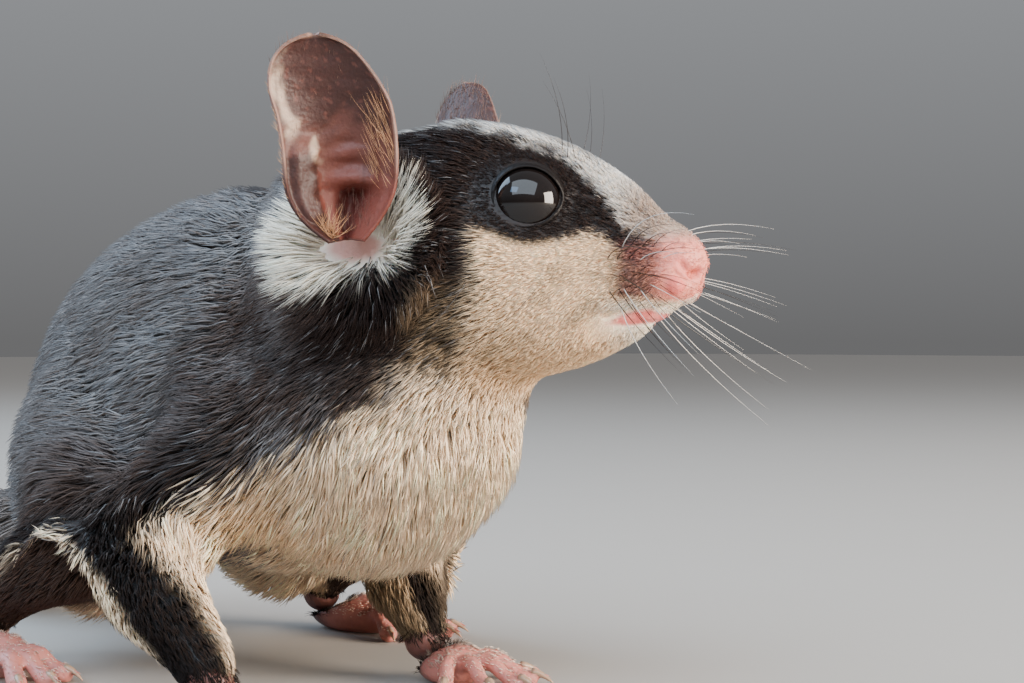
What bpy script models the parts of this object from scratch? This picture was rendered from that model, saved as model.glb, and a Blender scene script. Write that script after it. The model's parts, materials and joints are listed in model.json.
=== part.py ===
"""Sugar glider, life size, crouching on the floor with its head turned to its left.

It is modelled in millimetres in the animal's own frame: +X is where the chest faces, +Y its left,
+Z up from the floor, with the origin on the floor under the middle of the chest. The head has a
frame of its own, midway between the ear canals. The last step moves the whole animal so that the
origin lies under the middle of its box, and turns it to metres.
"""

import math

import bmesh
import bpy
import numpy as np
from mathutils import Matrix, Vector

MM = 0.001
GAP = 0.3  # free space between two nodes that meet
LEFT, RIGHT = 1, -1

# Body, as the coat's outer surface
SPINE = [(10, 37), (2, 34), (-8, 32.5), (-20, 32.5), (-34, 31.5), (-48, 27), (-58, 22.5), (-66, 17)]
SPINE_HALF_WIDTH = [9, 13.5, 16, 16.6, 16, 13.8, 10.5, 4.5]
SPINE_HALF_HEIGHT = [10, 16, 20.8, 21.8, 20.9, 19, 14.8, 5]
CHEST_CENTRE = (1.8, 0, 29.2)
CHEST_RADII = (14.5, 16, 18)
CHEST_TILT = math.radians(24)  # its foot lies behind its top
NECK_CENTRE = (-1, 0, 43)
NECK_RADII = (14, 12.5, 13.5)
THIGH_CENTRE = (-37, 12, 20.5)
THIGH_RADII = (17, 7.8, 16)
BODY_VOXEL = 0.6
BODY_TRIANGLES = 3450
BODY_SMOOTHING = 6
FACE_FINENESS = 0.5  # how much longer the thinning spares the face than the rest

# Head, in its own frame: +X to the nose, +Y left, +Z up
HEAD_CENTRE = (4, 0, 48.5)
HEAD_TURN = math.radians(28)
HEAD_TOP = [(-13, 8), (-6, 9.2), (-1, 9.9), (3.5, 10.5), (9, 10.6), (13.3, 9.7), (17.5, 8.3),
            (21.7, 6.2), (25.8, 3.4), (28.8, 0.3), (31.3, -2.1), (32.2, -3.6), (32.6, -5)]
HEAD_UNDER = [(-13, -15), (0, -17), (9, -16.6), (17.8, -15.4), (24, -13.1), (26.8, -11.3),
              (28.6, -10), (30.5, -8.3), (31.8, -7.2), (32.6, -5)]
HEAD_HALF_WIDTH = [(-13, 11), (-5, 11.4), (1, 11.8), (7, 12.6), (12, 12), (16, 10.4), (20, 8.2),
                   (24, 5.8), (27, 4.4), (30, 3.3), (31.8, 2.2), (32.6, 0.5)]
CHEEK_DROP = -0.22  # the widest level lies this share of the half height below the middle
NOSE_CENTRE, NOSE_RADII = (30.9, 0, -4.6), (2.0, 2.7, 2.4)
WHISKER_PAD_CENTRE, WHISKER_PAD_RADII = (26.8, 2.5, -6.6), (4.2, 2.7, 3.0)
LOWER_LIP_CENTRE, LOWER_LIP_RADII = (23.4, 0, -10.4), (4.6, 4.0, 2.2)
NOSTRIL = (32.3, 1.5, -5.2)
NOSTRIL_RADIUS, NOSTRIL_DEPTH = 0.75, 0.8
MOUTH_LINE = [(31.0, 0.3, -8.6), (28.6, 2.9, -9.6), (26.6, 4.1, -10.2), (24.6, 5.1, -11.3)]
MOUTH_WIDTH, MOUTH_DEPTH = 0.75, 0.85
EAR_HOLLOW = (1.8, 11.6, 0.4)
EAR_HOLLOW_RADIUS, EAR_HOLLOW_DEPTH = 4.0, 3.2

# Eyes
EYE_RADIUS = 3.75
EYE_CENTRE = (16.1, 5.4, 1.2)
EYE_AXIS = (0.33, 0.93, 0.16)
LID_THICKNESS = 0.8
LID_OPENING = (3.35, 2.95)  # half length and half height of the open eye

# Ears: the outline as (height, middle, half width), seen square on
EAR_BASE = (0.0, 12.8, -2.6)
EAR_TIP_DIRECTION = {LEFT: (1.0, 5.0, 19.4), RIGHT: (0.5, 3.4, 19.8)}
EAR_FACING = math.radians(27)  # turned forward from straight out
EAR_OUTLINE = [(0, 0.4, 1.6), (1.5, 0.2, 3.2), (2.9, 0.1, 4.3), (5, 0.15, 5.3), (8.9, 0.3, 5.45),
               (12.2, 0, 5.5), (13.6, -0.4, 5.5), (15.3, -1.0, 5.2), (17.4, -1.5, 4.3),
               (18.8, -1.6, 3.0), (19.7, -1.6, 0.6)]
EAR_CUP = [(0, 1.6), (3, 3.8), (8, 3.6), (14, 1.9), (19.7, 0.5)]
EAR_WALL = 0.9
EAR_ROWS, EAR_COLUMNS = 15, 9

# Legs, as (x, y, z, radius) down each limb; a left leg mirrors its right one unless given
FORELEG_RIGHT = [(-4, -11, 27, 8.5), (-12, -18.5, 17, 6.4), (-4.5, -22.3, 10.5, 5.0),
                 (4, -22.3, 4.6, 3.9)]
FORELEG_LEFT = [(-5, 8.5, 24, 8), (-9.2, 9.4, 14.5, 5.2), (-7.2, 9.2, 9.2, 4.4),
                (-4, 9.4, 4.6, 3.7)]
HINDLEG = [(-48, 8.5, 25, 8.5), (-27, 18.5, 16.5, 7.0), (-36, 21.5, 10, 5.0), (-43, 22.6, 5, 3.6)]
HAND_ANGLE_RIGHT = math.radians(-12)
HAND_ANGLE_LEFT = math.radians(14)
PALM_REACH = 3.6  # from the wrist to the middle of the palm
HAND_PALM = (4.1, 3.4, 2.4)
HAND_DIGITS = [(-58, 4.8), (-27, 6.0), (-2, 6.5), (22, 6.1), (52, 5.0)]  # spread in degrees, length
HAND_DIGIT_RADIUS = 1.0
FOOT_ANGLE = math.radians(13)
FOOT_HEEL = (-43, 23, 2.6)
FOOT_LENGTH, FOOT_HALF_WIDTH, FOOT_HALF_HEIGHT = 15.5, 3.3, 2.6
FOOT_DIGITS = [(-34, 6.6), (-14, 8.2), (4, 8.6), (24, 7.6), (84, 5.6)]
FOOT_DIGIT_RADIUS = 1.15
PAW_TRIANGLES = 420
DIGIT_RINGS, DIGIT_SIDES = 5, 6
CLAW_SIDES = 4
CLAW_LENGTH, CLAW_RADIUS = 2.2, 0.42
SOLE_HEIGHT = 0.72  # centre height of a digit's end, as a share of its radius

# Gliding membrane: the fold's free edge and its root inside the flank
EDGE_RIGHT = [(2.5, -26.2, 4.2), (-4, -26.6, 8.4), (-8.6, -26.9, 12), (-13.5, -27.2, 14.4),
              (-19, -27.2, 16.8), (-29, -27, 14), (-38, -26.2, 8.5)]
EDGE_LEFT = [(-6, 13.6, 6.5), (-9, 17, 9.2), (-12, 21.4, 12), (-15, 24.6, 14.4),
             (-19.5, 26.4, 16.8), (-29, 27, 14), (-38, 26.2, 8.5)]
ROOT_RIGHT = [(2, -22, 5.5), (-4.5, -21, 11), (-9, -19, 16), (-13.5, -16, 20), (-19, -14, 24),
              (-29, -14, 21), (-38, -16, 13)]
ROOT_LEFT = [(-5, 9.5, 7), (-8, 10, 12), (-10.5, 12, 16), (-14, 13.5, 20), (-19, 14, 24),
             (-29, 14, 21), (-38, 16, 13)]
FOLD_EDGE, FOLD_ROOT = 0.9, 1.7  # half thickness
FOLD_STATIONS = 9

# Tail, along the floor behind the animal
TAIL_PATH = [(-60, 0, 20), (-70, -0.3, 14), (-82, -1.5, 9.6), (-100, -4, 9.3), (-125, -8.5, 9.7),
             (-152, -15.5, 9.3), (-178, -25.5, 7.2), (-196, -35, 4.2), (-206, -41.5, 1.4)]
TAIL_RADIUS = [5.5, 7.4, 9.2, 10.6, 11.4, 10.9, 8.6, 5.2, 1.2]
TAIL_RINGS, TAIL_SIDES = 16, 8
TAIL_CORE = 0.6  # of the radius that the tips of the coat reach
TAIL_TIERS, TAIL_LOCKS_A_TIER = 7, 5
TAIL_FIRST, TAIL_LAST = 0.03, 0.83  # shares of the path where the first and last locks are rooted
TAIL_LOCK_LENGTH, TAIL_LOCK_HALF_WIDTH, TAIL_LOCK_HALF_THICKNESS = 27, 5.9, 1.1
SINK = 0.55  # share of the core's radius at which a lock is rooted

# Ruff of long pale hair round the foot of each ear, in the head's frame
RUFF_FIRST, RUFF_LAST, RUFF_LOCKS = math.radians(62), math.radians(-205), 11
RUFF_CENTRE = (0.4, 0, -3.4)
RUFF_ROOT = 3.6  # distance of the roots from the centre
RUFF_LENGTHS = [(0, 5.0), (0.3, 5.2), (0.55, 5.6), (0.8, 7.4), (1, 6.4)]
RUFF_LOCK_HALF_WIDTH, RUFF_LOCK_HALF_THICKNESS = 1.8, 0.5
LOCK_STATIONS = 4
LOCK_WIDTHS = [(0, 0.7), (0.35, 1), (0.7, 0.72), (1, 0.16)]
LOCK_THICKNESSES = [(0, 1), (0.5, 0.9), (1, 0.32)]
SEED = 7

# Where the body is parted: planes in the head's frame, each a point and a direction out of the
# piece, and round regions along the legs
HEAD_PLANES = [((-12.5, 0, 0), (-1, 0, 0.04)), ((14, 0, -15.6), (-0.2, 0, -0.98))]
NECK_PLANES = [((-20.5, 0, 0), (-1, 0, -0.12)), ((14, 0, -22), (-0.3, 0, -0.95))]
FORELEG_REGION_RIGHT = [(-8, -22, 25, 10.5), (-9, -25, 12, 10), (4, -24, 4, 9)]
FORELEG_REGION_LEFT = [(-9, 14.5, 17.5, 8.5), (-6, 12.5, 9, 7.5), (-1, 11.5, 3, 8)]
HINDLEG_REGION = [(-45, 22, 26, 13.5), (-30, 24, 17, 12.5), (-42, 26, 6, 11)]
REGION_VOXEL, REGION_TRIANGLES = 1.0, 420
REACH = 300  # half the size of a block that stands for all that lies beyond a plane

COLOURS = {
    "coat_grey": (0.30, 0.28, 0.27, 0.9),
    "coat_cream": (0.72, 0.58, 0.44, 0.9),
    "coat_dark": (0.05, 0.04, 0.04, 0.9),
    "skin_pink": (0.62, 0.27, 0.23, 0.55),
    "ear_skin": (0.36, 0.17, 0.14, 0.5),
    "eye_black": (0.01, 0.01, 0.012, 0.05),
}


def clear_scene():
    for obj in list(bpy.data.objects):
        bpy.data.objects.remove(obj)


def material(name):
    *colour, roughness = COLOURS[name]
    made = bpy.data.materials.get(name) or bpy.data.materials.new(name)
    made.use_nodes = True
    made.diffuse_color = (*colour, 1)
    shader = made.node_tree.nodes["Principled BSDF"]
    shader.inputs["Base Color"].default_value = (*colour, 1)
    shader.inputs["Roughness"].default_value = roughness
    shader.inputs["Metallic"].default_value = 0
    return made


def profile(stations, places):
    """The smooth curve through (place, value) stations, read at the given places."""
    known, values = np.array(stations, float).T
    places = np.clip(places, known[0], known[-1])
    slopes = np.gradient(values, known)
    cell = np.clip(np.searchsorted(known, places) - 1, 0, len(known) - 2)
    span = known[cell + 1] - known[cell]
    t = (places - known[cell]) / span
    start = (2 * t**3 - 3 * t**2 + 1) * values[cell] + (t**3 - 2 * t**2 + t) * span * slopes[cell]
    end = (3 * t**2 - 2 * t**3) * values[cell + 1] + (t**3 - t**2) * span * slopes[cell + 1]
    return start + end


def smooth_path(points, count):
    """Evenly placed points on the smooth curve through rows of numbers."""
    rows = np.array(points, float)
    steps = np.linalg.norm(np.diff(rows[:, :3], axis=0), axis=1)
    along = np.concatenate([[0], np.cumsum(steps)])
    places = np.linspace(0, along[-1], count)
    columns = [profile(np.stack([along, column], axis=1), places) for column in rows.T]
    return np.stack(columns, axis=1)


def unit(vector):
    return np.array(vector, float) / np.linalg.norm(vector)


def lofted(rings):
    """A closed form through rings of points, as (points, faces), with a fan over each end."""
    count, sides = len(rings), len(rings[0])
    points = [tuple(p) for ring in rings for p in ring]
    faces = []
    for i in range(count - 1):
        for j in range(sides):
            k = (j + 1) % sides
            faces.append((i * sides + j, i * sides + k, (i + 1) * sides + k, (i + 1) * sides + j))
    for ring, base, step in ((rings[0], 0, -1), (rings[-1], (count - 1) * sides, 1)):
        middle = len(points)
        points.append(tuple(np.mean(ring, axis=0)))
        for j in range(sides):
            k = (j + 1) % sides
            faces.append((base + j, base + k, middle) if step > 0 else (base + k, base + j, middle))
    return points, faces


def tube(path, across, upright, sides):
    """A closed tube along a path, with a half width and a half height at each of its points."""
    path = np.array(path, float)[:, :3]
    ahead = np.gradient(path, axis=0)
    angles = np.linspace(0, 2 * math.pi, sides, endpoint=False)
    rings = []
    for centre, forward, wide, high in zip(path, ahead, across, upright):
        forward = unit(forward)
        helper = np.array((0, 0, 1.0)) if abs(forward[2]) < 0.9 else np.array((1.0, 0, 0))
        side = unit(np.cross(helper, forward))
        up = np.cross(forward, side)
        rings.append([centre + side * wide * math.cos(a) + up * high * math.sin(a) for a in angles])
    return lofted(rings)


def capsule(points, count=14, sides=20, cap_angles=(8, 35, 65)):
    """A round limb along (x, y, z, radius) points, closed by a half ball at each end."""
    rows = smooth_path(points, count)
    path, radii = rows[:, :3], rows[:, 3]
    start_way = unit(path[0] - path[1])
    end_way = unit(path[-1] - path[-2])
    caps = [math.radians(angle) for angle in cap_angles]
    first = [(path[0] + start_way * radii[0] * math.cos(a), radii[0] * math.sin(a)) for a in caps]
    last = [(path[-1] + end_way * radii[-1] * math.cos(a), radii[-1] * math.sin(a)) for a in caps[::-1]]
    whole = np.array([p for p, _ in first] + list(path) + [p for p, _ in last])
    size = np.array([r for _, r in first] + list(radii) + [r for _, r in last])
    return tube(whole, size, size, sides)


def ball(centre, radii, detail=4):
    """An ellipsoid, as (points, faces)."""
    made = bmesh.new()
    bmesh.ops.create_icosphere(made, subdivisions=detail, radius=1)
    points = [tuple(np.array(v.co) * radii + centre) for v in made.verts]
    faces = [tuple(v.index for v in face.verts) for face in made.faces]
    made.free()
    return points, faces


def mirrored(values):
    """Rows of (x, y, z, ...) numbers, or one row, on the other side of the body."""
    rows = np.array(values, float)
    rows[..., 1] *= -1
    return rows


def placed(form, matrix):
    points, faces = form
    return [tuple(matrix @ Vector(p)) for p in points], faces


def joined(forms):
    points, faces = [], []
    for form_points, form_faces in forms:
        first = len(points)
        points.extend(form_points)
        faces.extend(tuple(first + i for i in face) for face in form_faces)
    return points, faces


def solid(name, form, colour="coat_grey"):
    """A named object of the form's points, with its faces turned outwards."""
    points, faces = form
    mesh = bpy.data.meshes.new(name)
    mesh.from_pydata([tuple(p) for p in points], [], faces)
    made = bmesh.new()
    made.from_mesh(mesh)
    bmesh.ops.triangulate(made, faces=made.faces)
    bmesh.ops.recalc_face_normals(made, faces=made.faces)
    made.to_mesh(mesh)
    made.free()
    mesh.materials.append(material(colour))
    obj = bpy.data.objects.new(name, mesh)
    bpy.context.collection.objects.link(obj)
    return obj


def settle(obj):
    """Applies the object's modifiers."""
    bpy.context.view_layer.update()
    graph = bpy.context.evaluated_depsgraph_get()
    made = bpy.data.meshes.new_from_object(obj.evaluated_get(graph))
    obj.modifiers.clear()
    obj.data = made


def remove(*objects):
    for obj in objects:
        bpy.data.objects.remove(obj)


def copy_of(obj, name):
    made = obj.copy()
    made.data = obj.data.copy()
    made.name = name
    bpy.context.collection.objects.link(made)
    return made


def cut(obj, tool, operation="DIFFERENCE"):
    modifier = obj.modifiers.new("cut", "BOOLEAN")
    modifier.operation = operation
    modifier.solver = "MANIFOLD"
    modifier.object = tool
    settle(obj)


def keep_largest(obj):
    """Drops every loose scrap, so that the object is one closed surface."""
    made = bmesh.new()
    made.from_mesh(obj.data)
    left = set(made.faces)
    groups = []
    while left:
        group, edge = set(), [left.pop()]
        while edge:
            face = edge.pop()
            group.add(face)
            for line in face.edges:
                for other in line.link_faces:
                    if other in left:
                        left.remove(other)
                        edge.append(other)
        groups.append(group)
    groups.sort(key=lambda faces: sum(face.calc_area() for face in faces), reverse=True)
    for group in groups[1:]:
        bmesh.ops.delete(made, geom=list(group), context="FACES")
    made.to_mesh(obj.data)
    made.free()


def grown(obj, distance, name="grown"):
    """A copy of a solid, larger by a distance all over."""
    made = copy_of(obj, name)
    modifier = made.modifiers.new("grow", "DISPLACE")
    modifier.mid_level = 0
    modifier.strength = distance
    settle(made)
    return made


def unite(base, forms):
    """Fuses closed forms to an object, by one Boolean union on a collection."""
    group = bpy.data.collections.new("pieces")
    for form in forms:
        piece = solid("piece", form)
        bpy.context.collection.objects.unlink(piece)
        group.objects.link(piece)
    bpy.context.scene.collection.children.link(group)
    modifier = base.modifiers.new("union", "BOOLEAN")
    modifier.operation = "UNION"
    modifier.solver = "MANIFOLD"
    modifier.operand_type = "COLLECTION"
    modifier.collection = group
    settle(base)
    remove(*list(group.objects))
    bpy.data.collections.remove(group)


def fused(name, forms, colour):
    """One object from closed forms that overlap."""
    first, *others = forms
    base = solid(name, first, colour)
    unite(base, others)
    keep_largest(base)
    return base


def half_space(point, direction, margin=0):
    """A large block that fills the side of a plane that the direction points away from."""
    corners = [(x, y, z) for x in (-REACH, margin) for y in (-REACH, REACH) for z in (-REACH, REACH)]
    faces = [(0, 1, 3, 2), (4, 6, 7, 5), (0, 4, 5, 1), (2, 3, 7, 6), (0, 2, 6, 4), (1, 5, 7, 3)]
    turn = Vector(direction).normalized().to_track_quat("X", "Z").to_matrix().to_4x4()
    return placed((corners, faces), Matrix.Translation(point) @ turn)


def head_frame():
    return Matrix.Translation(HEAD_CENTRE) @ Matrix.Rotation(HEAD_TURN, 4, "Z")


def head_loft():
    """The skull, cheeks and muzzle as rings across the head's own X axis."""
    start, end = HEAD_TOP[0][0], HEAD_TOP[-1][0]
    places = np.concatenate([np.linspace(start, 29, 30), np.linspace(29.8, end - 0.05, 8)])
    tops, unders = profile(HEAD_TOP, places), profile(HEAD_UNDER, places)
    widths = profile(HEAD_HALF_WIDTH, places)
    angles = np.linspace(0, 2 * math.pi, 36, endpoint=False)
    rings = []
    for x, top, under, width in zip(places, tops, unders, widths):
        middle, half = (top + under) / 2, max((top - under) / 2, 0.3)
        high = np.sin(angles)
        side = np.sign(np.cos(angles)) * np.abs(np.cos(angles)) ** 0.92
        level = high + CHEEK_DROP * (1 - high**2)
        rings.append([(x, width * s, middle + half * h) for s, h in zip(side, level)])
    return lofted(rings)


def head_forms():
    forms = [head_loft(), ball(NOSE_CENTRE, NOSE_RADII), ball(LOWER_LIP_CENTRE, LOWER_LIP_RADII)]
    for side in (LEFT, RIGHT):
        mirror = np.array((1, side, 1))
        forms.append(ball(np.array(WHISKER_PAD_CENTRE) * mirror, WHISKER_PAD_RADII))
        lid = EYE_RADIUS + GAP + LID_THICKNESS
        forms.append(ball(np.array(EYE_CENTRE) * mirror, (lid, lid, lid)))
    return [placed(form, head_frame()) for form in forms]


def torso_form():
    rows = [(x, 0, z, w, h) for (x, z), w, h in zip(SPINE, SPINE_HALF_WIDTH, SPINE_HALF_HEIGHT)]
    rows = smooth_path(rows, 30)
    return tube(rows[:, :3], rows[:, 3], rows[:, 4], 36)


def carve_face(obj):
    """Presses the line of the mouth, the nostrils and the ears' hollows into the head."""
    into = head_frame().inverted()
    line = smooth_path(MOUTH_LINE, 24)[:, :3]
    presses = []
    for vertex in obj.data.vertices:
        local = np.array(into @ vertex.co)
        even = np.array((local[0], abs(local[1]), local[2]))
        gap = np.linalg.norm(line - even, axis=1).min()
        press = MOUTH_DEPTH * math.exp(-((gap / MOUTH_WIDTH) ** 2))
        for centre, radius, depth in ((NOSTRIL, NOSTRIL_RADIUS, NOSTRIL_DEPTH),
                                      (EAR_HOLLOW, EAR_HOLLOW_RADIUS, EAR_HOLLOW_DEPTH)):
            press += depth * math.exp(-((np.linalg.norm(even - centre) / radius) ** 2))
        presses.append(vertex.normal * press)
    for vertex, press in zip(obj.data.vertices, presses):
        vertex.co -= press


def thinned(obj, triangles, spared=lambda point: 0):
    """Fewer triangles, with the smallest where spared is near 1."""
    open_to_it = obj.vertex_groups.new(name="open_to_it")
    for vertex in obj.data.vertices:
        open_to_it.add([vertex.index], 1 - 0.9 * spared(vertex.co), "REPLACE")
    thin = obj.modifiers.new("thin", "DECIMATE")
    thin.ratio = triangles / sum(len(face.vertices) - 2 for face in obj.data.polygons)
    thin.vertex_group = open_to_it.name
    thin.vertex_group_factor = FACE_FINENESS
    settle(obj)
    obj.vertex_groups.clear()


def on_face(point):
    """0 at the nape, rising to 1 from the eyes on to the nose."""
    ahead = (head_frame().inverted() @ point).x
    return min(max((ahead + 14) / 24, 0), 1)


def whole_body():
    """Head, neck, trunk and legs as one skin, smooth where they run into each other."""
    tilt = Matrix.Translation(CHEST_CENTRE) @ Matrix.Rotation(CHEST_TILT, 4, "Y")
    forms = [torso_form(), placed(ball((0, 0, 0), CHEST_RADII), tilt), ball(NECK_CENTRE, NECK_RADII)]
    for side in (LEFT, RIGHT):
        forms.append(ball(np.array(THIGH_CENTRE) * (1, side, 1), THIGH_RADII))
    forms.append(capsule(FORELEG_RIGHT))
    forms.append(capsule(FORELEG_LEFT))
    forms.append(capsule(HINDLEG))
    forms.append(capsule(mirrored(HINDLEG)))
    forms.extend(head_forms())
    body = solid("whole", joined(forms))
    remesh = body.modifiers.new("remesh", "REMESH")
    remesh.mode = "VOXEL"
    remesh.voxel_size = BODY_VOXEL
    smooth = body.modifiers.new("smooth", "SMOOTH")
    smooth.iterations = BODY_SMOOTHING
    settle(body)
    carve_face(body)
    thinned(body, BODY_TRIANGLES, on_face)
    return body


def eye_matrix(side):
    """The eye's own frame in the head: +X along its gaze, +Z up."""
    axis = Vector(EYE_AXIS).normalized()
    axis.y *= side
    turn = axis.to_track_quat("X", "Z").to_matrix().to_4x4()
    centre = np.array(EYE_CENTRE) * (1, side, 1)
    return head_frame() @ Matrix.Translation(centre) @ turn


def open_eyes(body):
    """Opens the lids over each eye and makes the eyeball behind them."""
    for side, name in ((LEFT, "eye_left"), (RIGHT, "eye_right")):
        frame = eye_matrix(side)
        room = solid("room", placed(ball((0, 0, 0), [EYE_RADIUS + GAP] * 3, 3), frame))
        cut(body, room)
        rings = []
        for x in (0.5, EYE_RADIUS + 3):
            angles = np.linspace(0, 2 * math.pi, 28, endpoint=False)
            long, high = LID_OPENING
            rings.append([(x, long * math.cos(a), high * math.sin(a)) for a in angles])
        window = solid("window", placed(lofted(rings), frame))
        cut(body, window)
        remove(room, window)
        solid(name, placed(ball((0, 0, 0), [EYE_RADIUS] * 3, 3), frame), "eye_black")
    keep_largest(body)


def parted(body, name, inside, room, colour):
    """Takes the part of the body that lies inside a solid, and clears the body from its room."""
    piece = copy_of(body, name)
    cut(piece, inside, "INTERSECT")
    keep_largest(piece)
    piece.data.materials.clear()
    piece.data.materials.append(material(colour))
    cut(body, room)
    keep_largest(body)
    remove(inside, room)
    return piece


def along_leg(points):
    """The round solid along a leg, and the room for it."""
    inside = solid("inside", capsule(points))
    remesh = inside.modifiers.new("remesh", "REMESH")
    remesh.mode = "VOXEL"
    remesh.voxel_size = REGION_VOXEL
    smooth = inside.modifiers.new("smooth", "SMOOTH")
    smooth.iterations = BODY_SMOOTHING
    settle(inside)
    thinned(inside, REGION_TRIANGLES)
    return inside, grown(inside, GAP, "room")


def within(planes):
    """The solid of the head's frame that lies inside planes, and the room for it."""
    made = []
    for margin in (0, GAP):
        first, *others = [placed(half_space(point, direction, margin), head_frame())
                          for point, direction in planes]
        block = solid("block", first)
        for form in others:
            other = solid("other", form)
            cut(block, other, "INTERSECT")
            remove(other)
        made.append(block)
    return made


def part_body(body):
    """Parts the one skin into the pieces that a person would name."""
    parted(body, "foreleg_right", *along_leg(FORELEG_REGION_RIGHT), "coat_dark")
    parted(body, "foreleg_left", *along_leg(FORELEG_REGION_LEFT), "coat_dark")
    parted(body, "hindleg_left", *along_leg(HINDLEG_REGION), "coat_grey")
    parted(body, "hindleg_right", *along_leg(mirrored(HINDLEG_REGION)), "coat_grey")
    parted(body, "head", *within(HEAD_PLANES), "coat_cream")
    parted(body, "neck", *within(NECK_PLANES), "coat_grey")
    body.name = "torso"


def ear_form(side):
    """One ear as a cupped sheet, open towards its facing."""
    up = unit(np.array(EAR_TIP_DIRECTION[side]) * (1, side, 1))
    facing = np.array((math.sin(EAR_FACING), side * math.cos(EAR_FACING), 0))
    facing = unit(facing - up * facing.dot(up))
    forward = unit(np.cross(up, facing)) * -side
    base = np.array(EAR_BASE) * (1, side, 1)
    heights = np.linspace(0, EAR_OUTLINE[-1][0], EAR_ROWS)
    middles = profile([(h, m) for h, m, _ in EAR_OUTLINE], heights)
    halves = profile([(h, w) for h, _, w in EAR_OUTLINE], heights)
    cups = profile(EAR_CUP, heights)
    rings = []
    for height, middle, half, cup in zip(heights, middles, halves, cups):
        spread = np.sin(np.linspace(-math.pi / 2, math.pi / 2, EAR_COLUMNS))
        inner, outer = [], []
        for s in spread:
            centre = base + up * height + forward * (middle + half * s)
            depth = cup * (1 - s * s)
            inner.append(centre - facing * depth)
            outer.append(centre - facing * (depth + EAR_WALL * (0.75 + 0.25 * (1 - s * s))))
        rings.append(inner + outer[::-1])
    return placed(lofted(rings), head_frame())


def lock(stations, across, half_width, half_thickness):
    """A flat, tapered lock along its stations, as (points, faces)."""
    shares = np.linspace(0, 1, len(stations))
    ahead = np.gradient(stations, axis=0)
    rings = []
    for share, place, side, forward in zip(shares, stations, across, ahead):
        wide = profile(LOCK_WIDTHS, [share])[0] * half_width
        thick = profile(LOCK_THICKNESSES, [share])[0] * half_thickness
        side = unit(side)
        up = unit(np.cross(side, forward))
        rings.append([place + side * wide, place + up * thick, place - side * wide,
                      place - up * thick])
    return lofted(rings)


def surface_beside(obj, x, z, side):
    """The place on the side of the head, seen square from that side, in the head's frame."""
    matrix = head_frame()
    outside = matrix @ Vector((x, side * REACH, z))
    way = (matrix.to_3x3() @ Vector((0, -side, 0))).normalized()
    hit, place, _, _ = obj.ray_cast(outside, way)
    return np.array(matrix.inverted() @ place) if hit else np.array((x, 0, z))


def ruff_forms(head, side, draw):
    """Locks that fan out from the foot of an ear, lying on the side of the head."""
    forms = []
    for i in range(RUFF_LOCKS):
        share = i / (RUFF_LOCKS - 1)
        angle = RUFF_FIRST + (RUFF_LAST - RUFF_FIRST) * share + draw.uniform(-0.06, 0.06)
        way = np.array((math.cos(angle), 0, math.sin(angle)))
        swerve = np.array((-way[2], 0, way[0])) * draw.uniform(-0.7, 0.7)
        length = profile(RUFF_LENGTHS, [share])[0] * draw.uniform(0.9, 1.1)
        stations = []
        for along in np.linspace(0, 1, LOCK_STATIONS):
            flat = np.array(RUFF_CENTRE) + way * (RUFF_ROOT + length * along) + swerve * along**2
            place = surface_beside(head, flat[0], flat[2], side)
            lift = -1.2 + 5.0 * along - 2.5 * along**2
            stations.append(place + (0, side * lift, 0))
        stations = np.array(stations)
        across = [np.cross(way, (0, side, 0))] * LOCK_STATIONS
        forms.append(placed(lock(stations, across, RUFF_LOCK_HALF_WIDTH * draw.uniform(0.85, 1.1),
                                 RUFF_LOCK_HALF_THICKNESS), head_frame()))
    return forms


def make_ruffs(head, neighbours):
    """Fuses the ruffs to the head, clear of the ears and the neck."""
    draw = np.random.default_rng(SEED)
    ruffs = [ruff_forms(head, side, draw) for side in (LEFT, RIGHT)]
    for forms in ruffs:
        ruff = solid("ruff", forms[0], "coat_cream")
        unite(ruff, forms[1:])
        for other in neighbours:
            room = grown(other, GAP)
            cut(ruff, room)
            remove(room)
        cut(head, ruff, "UNION")
        remove(ruff)
    keep_largest(head)


def make_ears(head):
    room = grown(head, GAP)
    for side, name in ((LEFT, "ear_left"), (RIGHT, "ear_right")):
        ear = solid(name, ear_form(side), "ear_skin")
        cut(ear, room)
        keep_largest(ear)
    remove(room)


def digit(root, heading, length, radius, lift):
    """One finger or toe, arched a little, with a pad at its end that lies on the floor."""
    ahead = np.array((math.cos(heading), math.sin(heading), 0))
    heights = (lift, lift + 0.9, radius * 1.25, radius * SOLE_HEIGHT)
    sizes = (radius * 1.05, radius, radius * 0.92, radius * 1.12)
    shares = (0, 0.4, 0.75, 1)
    points = [(*(np.array(root)[:2] + ahead[:2] * length * s), z, r)
              for s, z, r in zip(shares, heights, sizes)]
    tip = np.array((*(np.array(root)[:2] + ahead[:2] * length), radius * SOLE_HEIGHT))
    nail = [tip + ahead * radius * 0.5 + (0, 0, 0.55), tip + ahead * (radius + 0.9) + (0, 0, 0.45),
            tip + ahead * (radius + CLAW_LENGTH) + (0, 0, -0.35)]
    sizes = [CLAW_RADIUS * share for share in (1.3, 0.9, 0.25)]
    claw = tube(nail, sizes, sizes, CLAW_SIDES)
    return [capsule(points, DIGIT_RINGS, DIGIT_SIDES, (30,)), claw]


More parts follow.
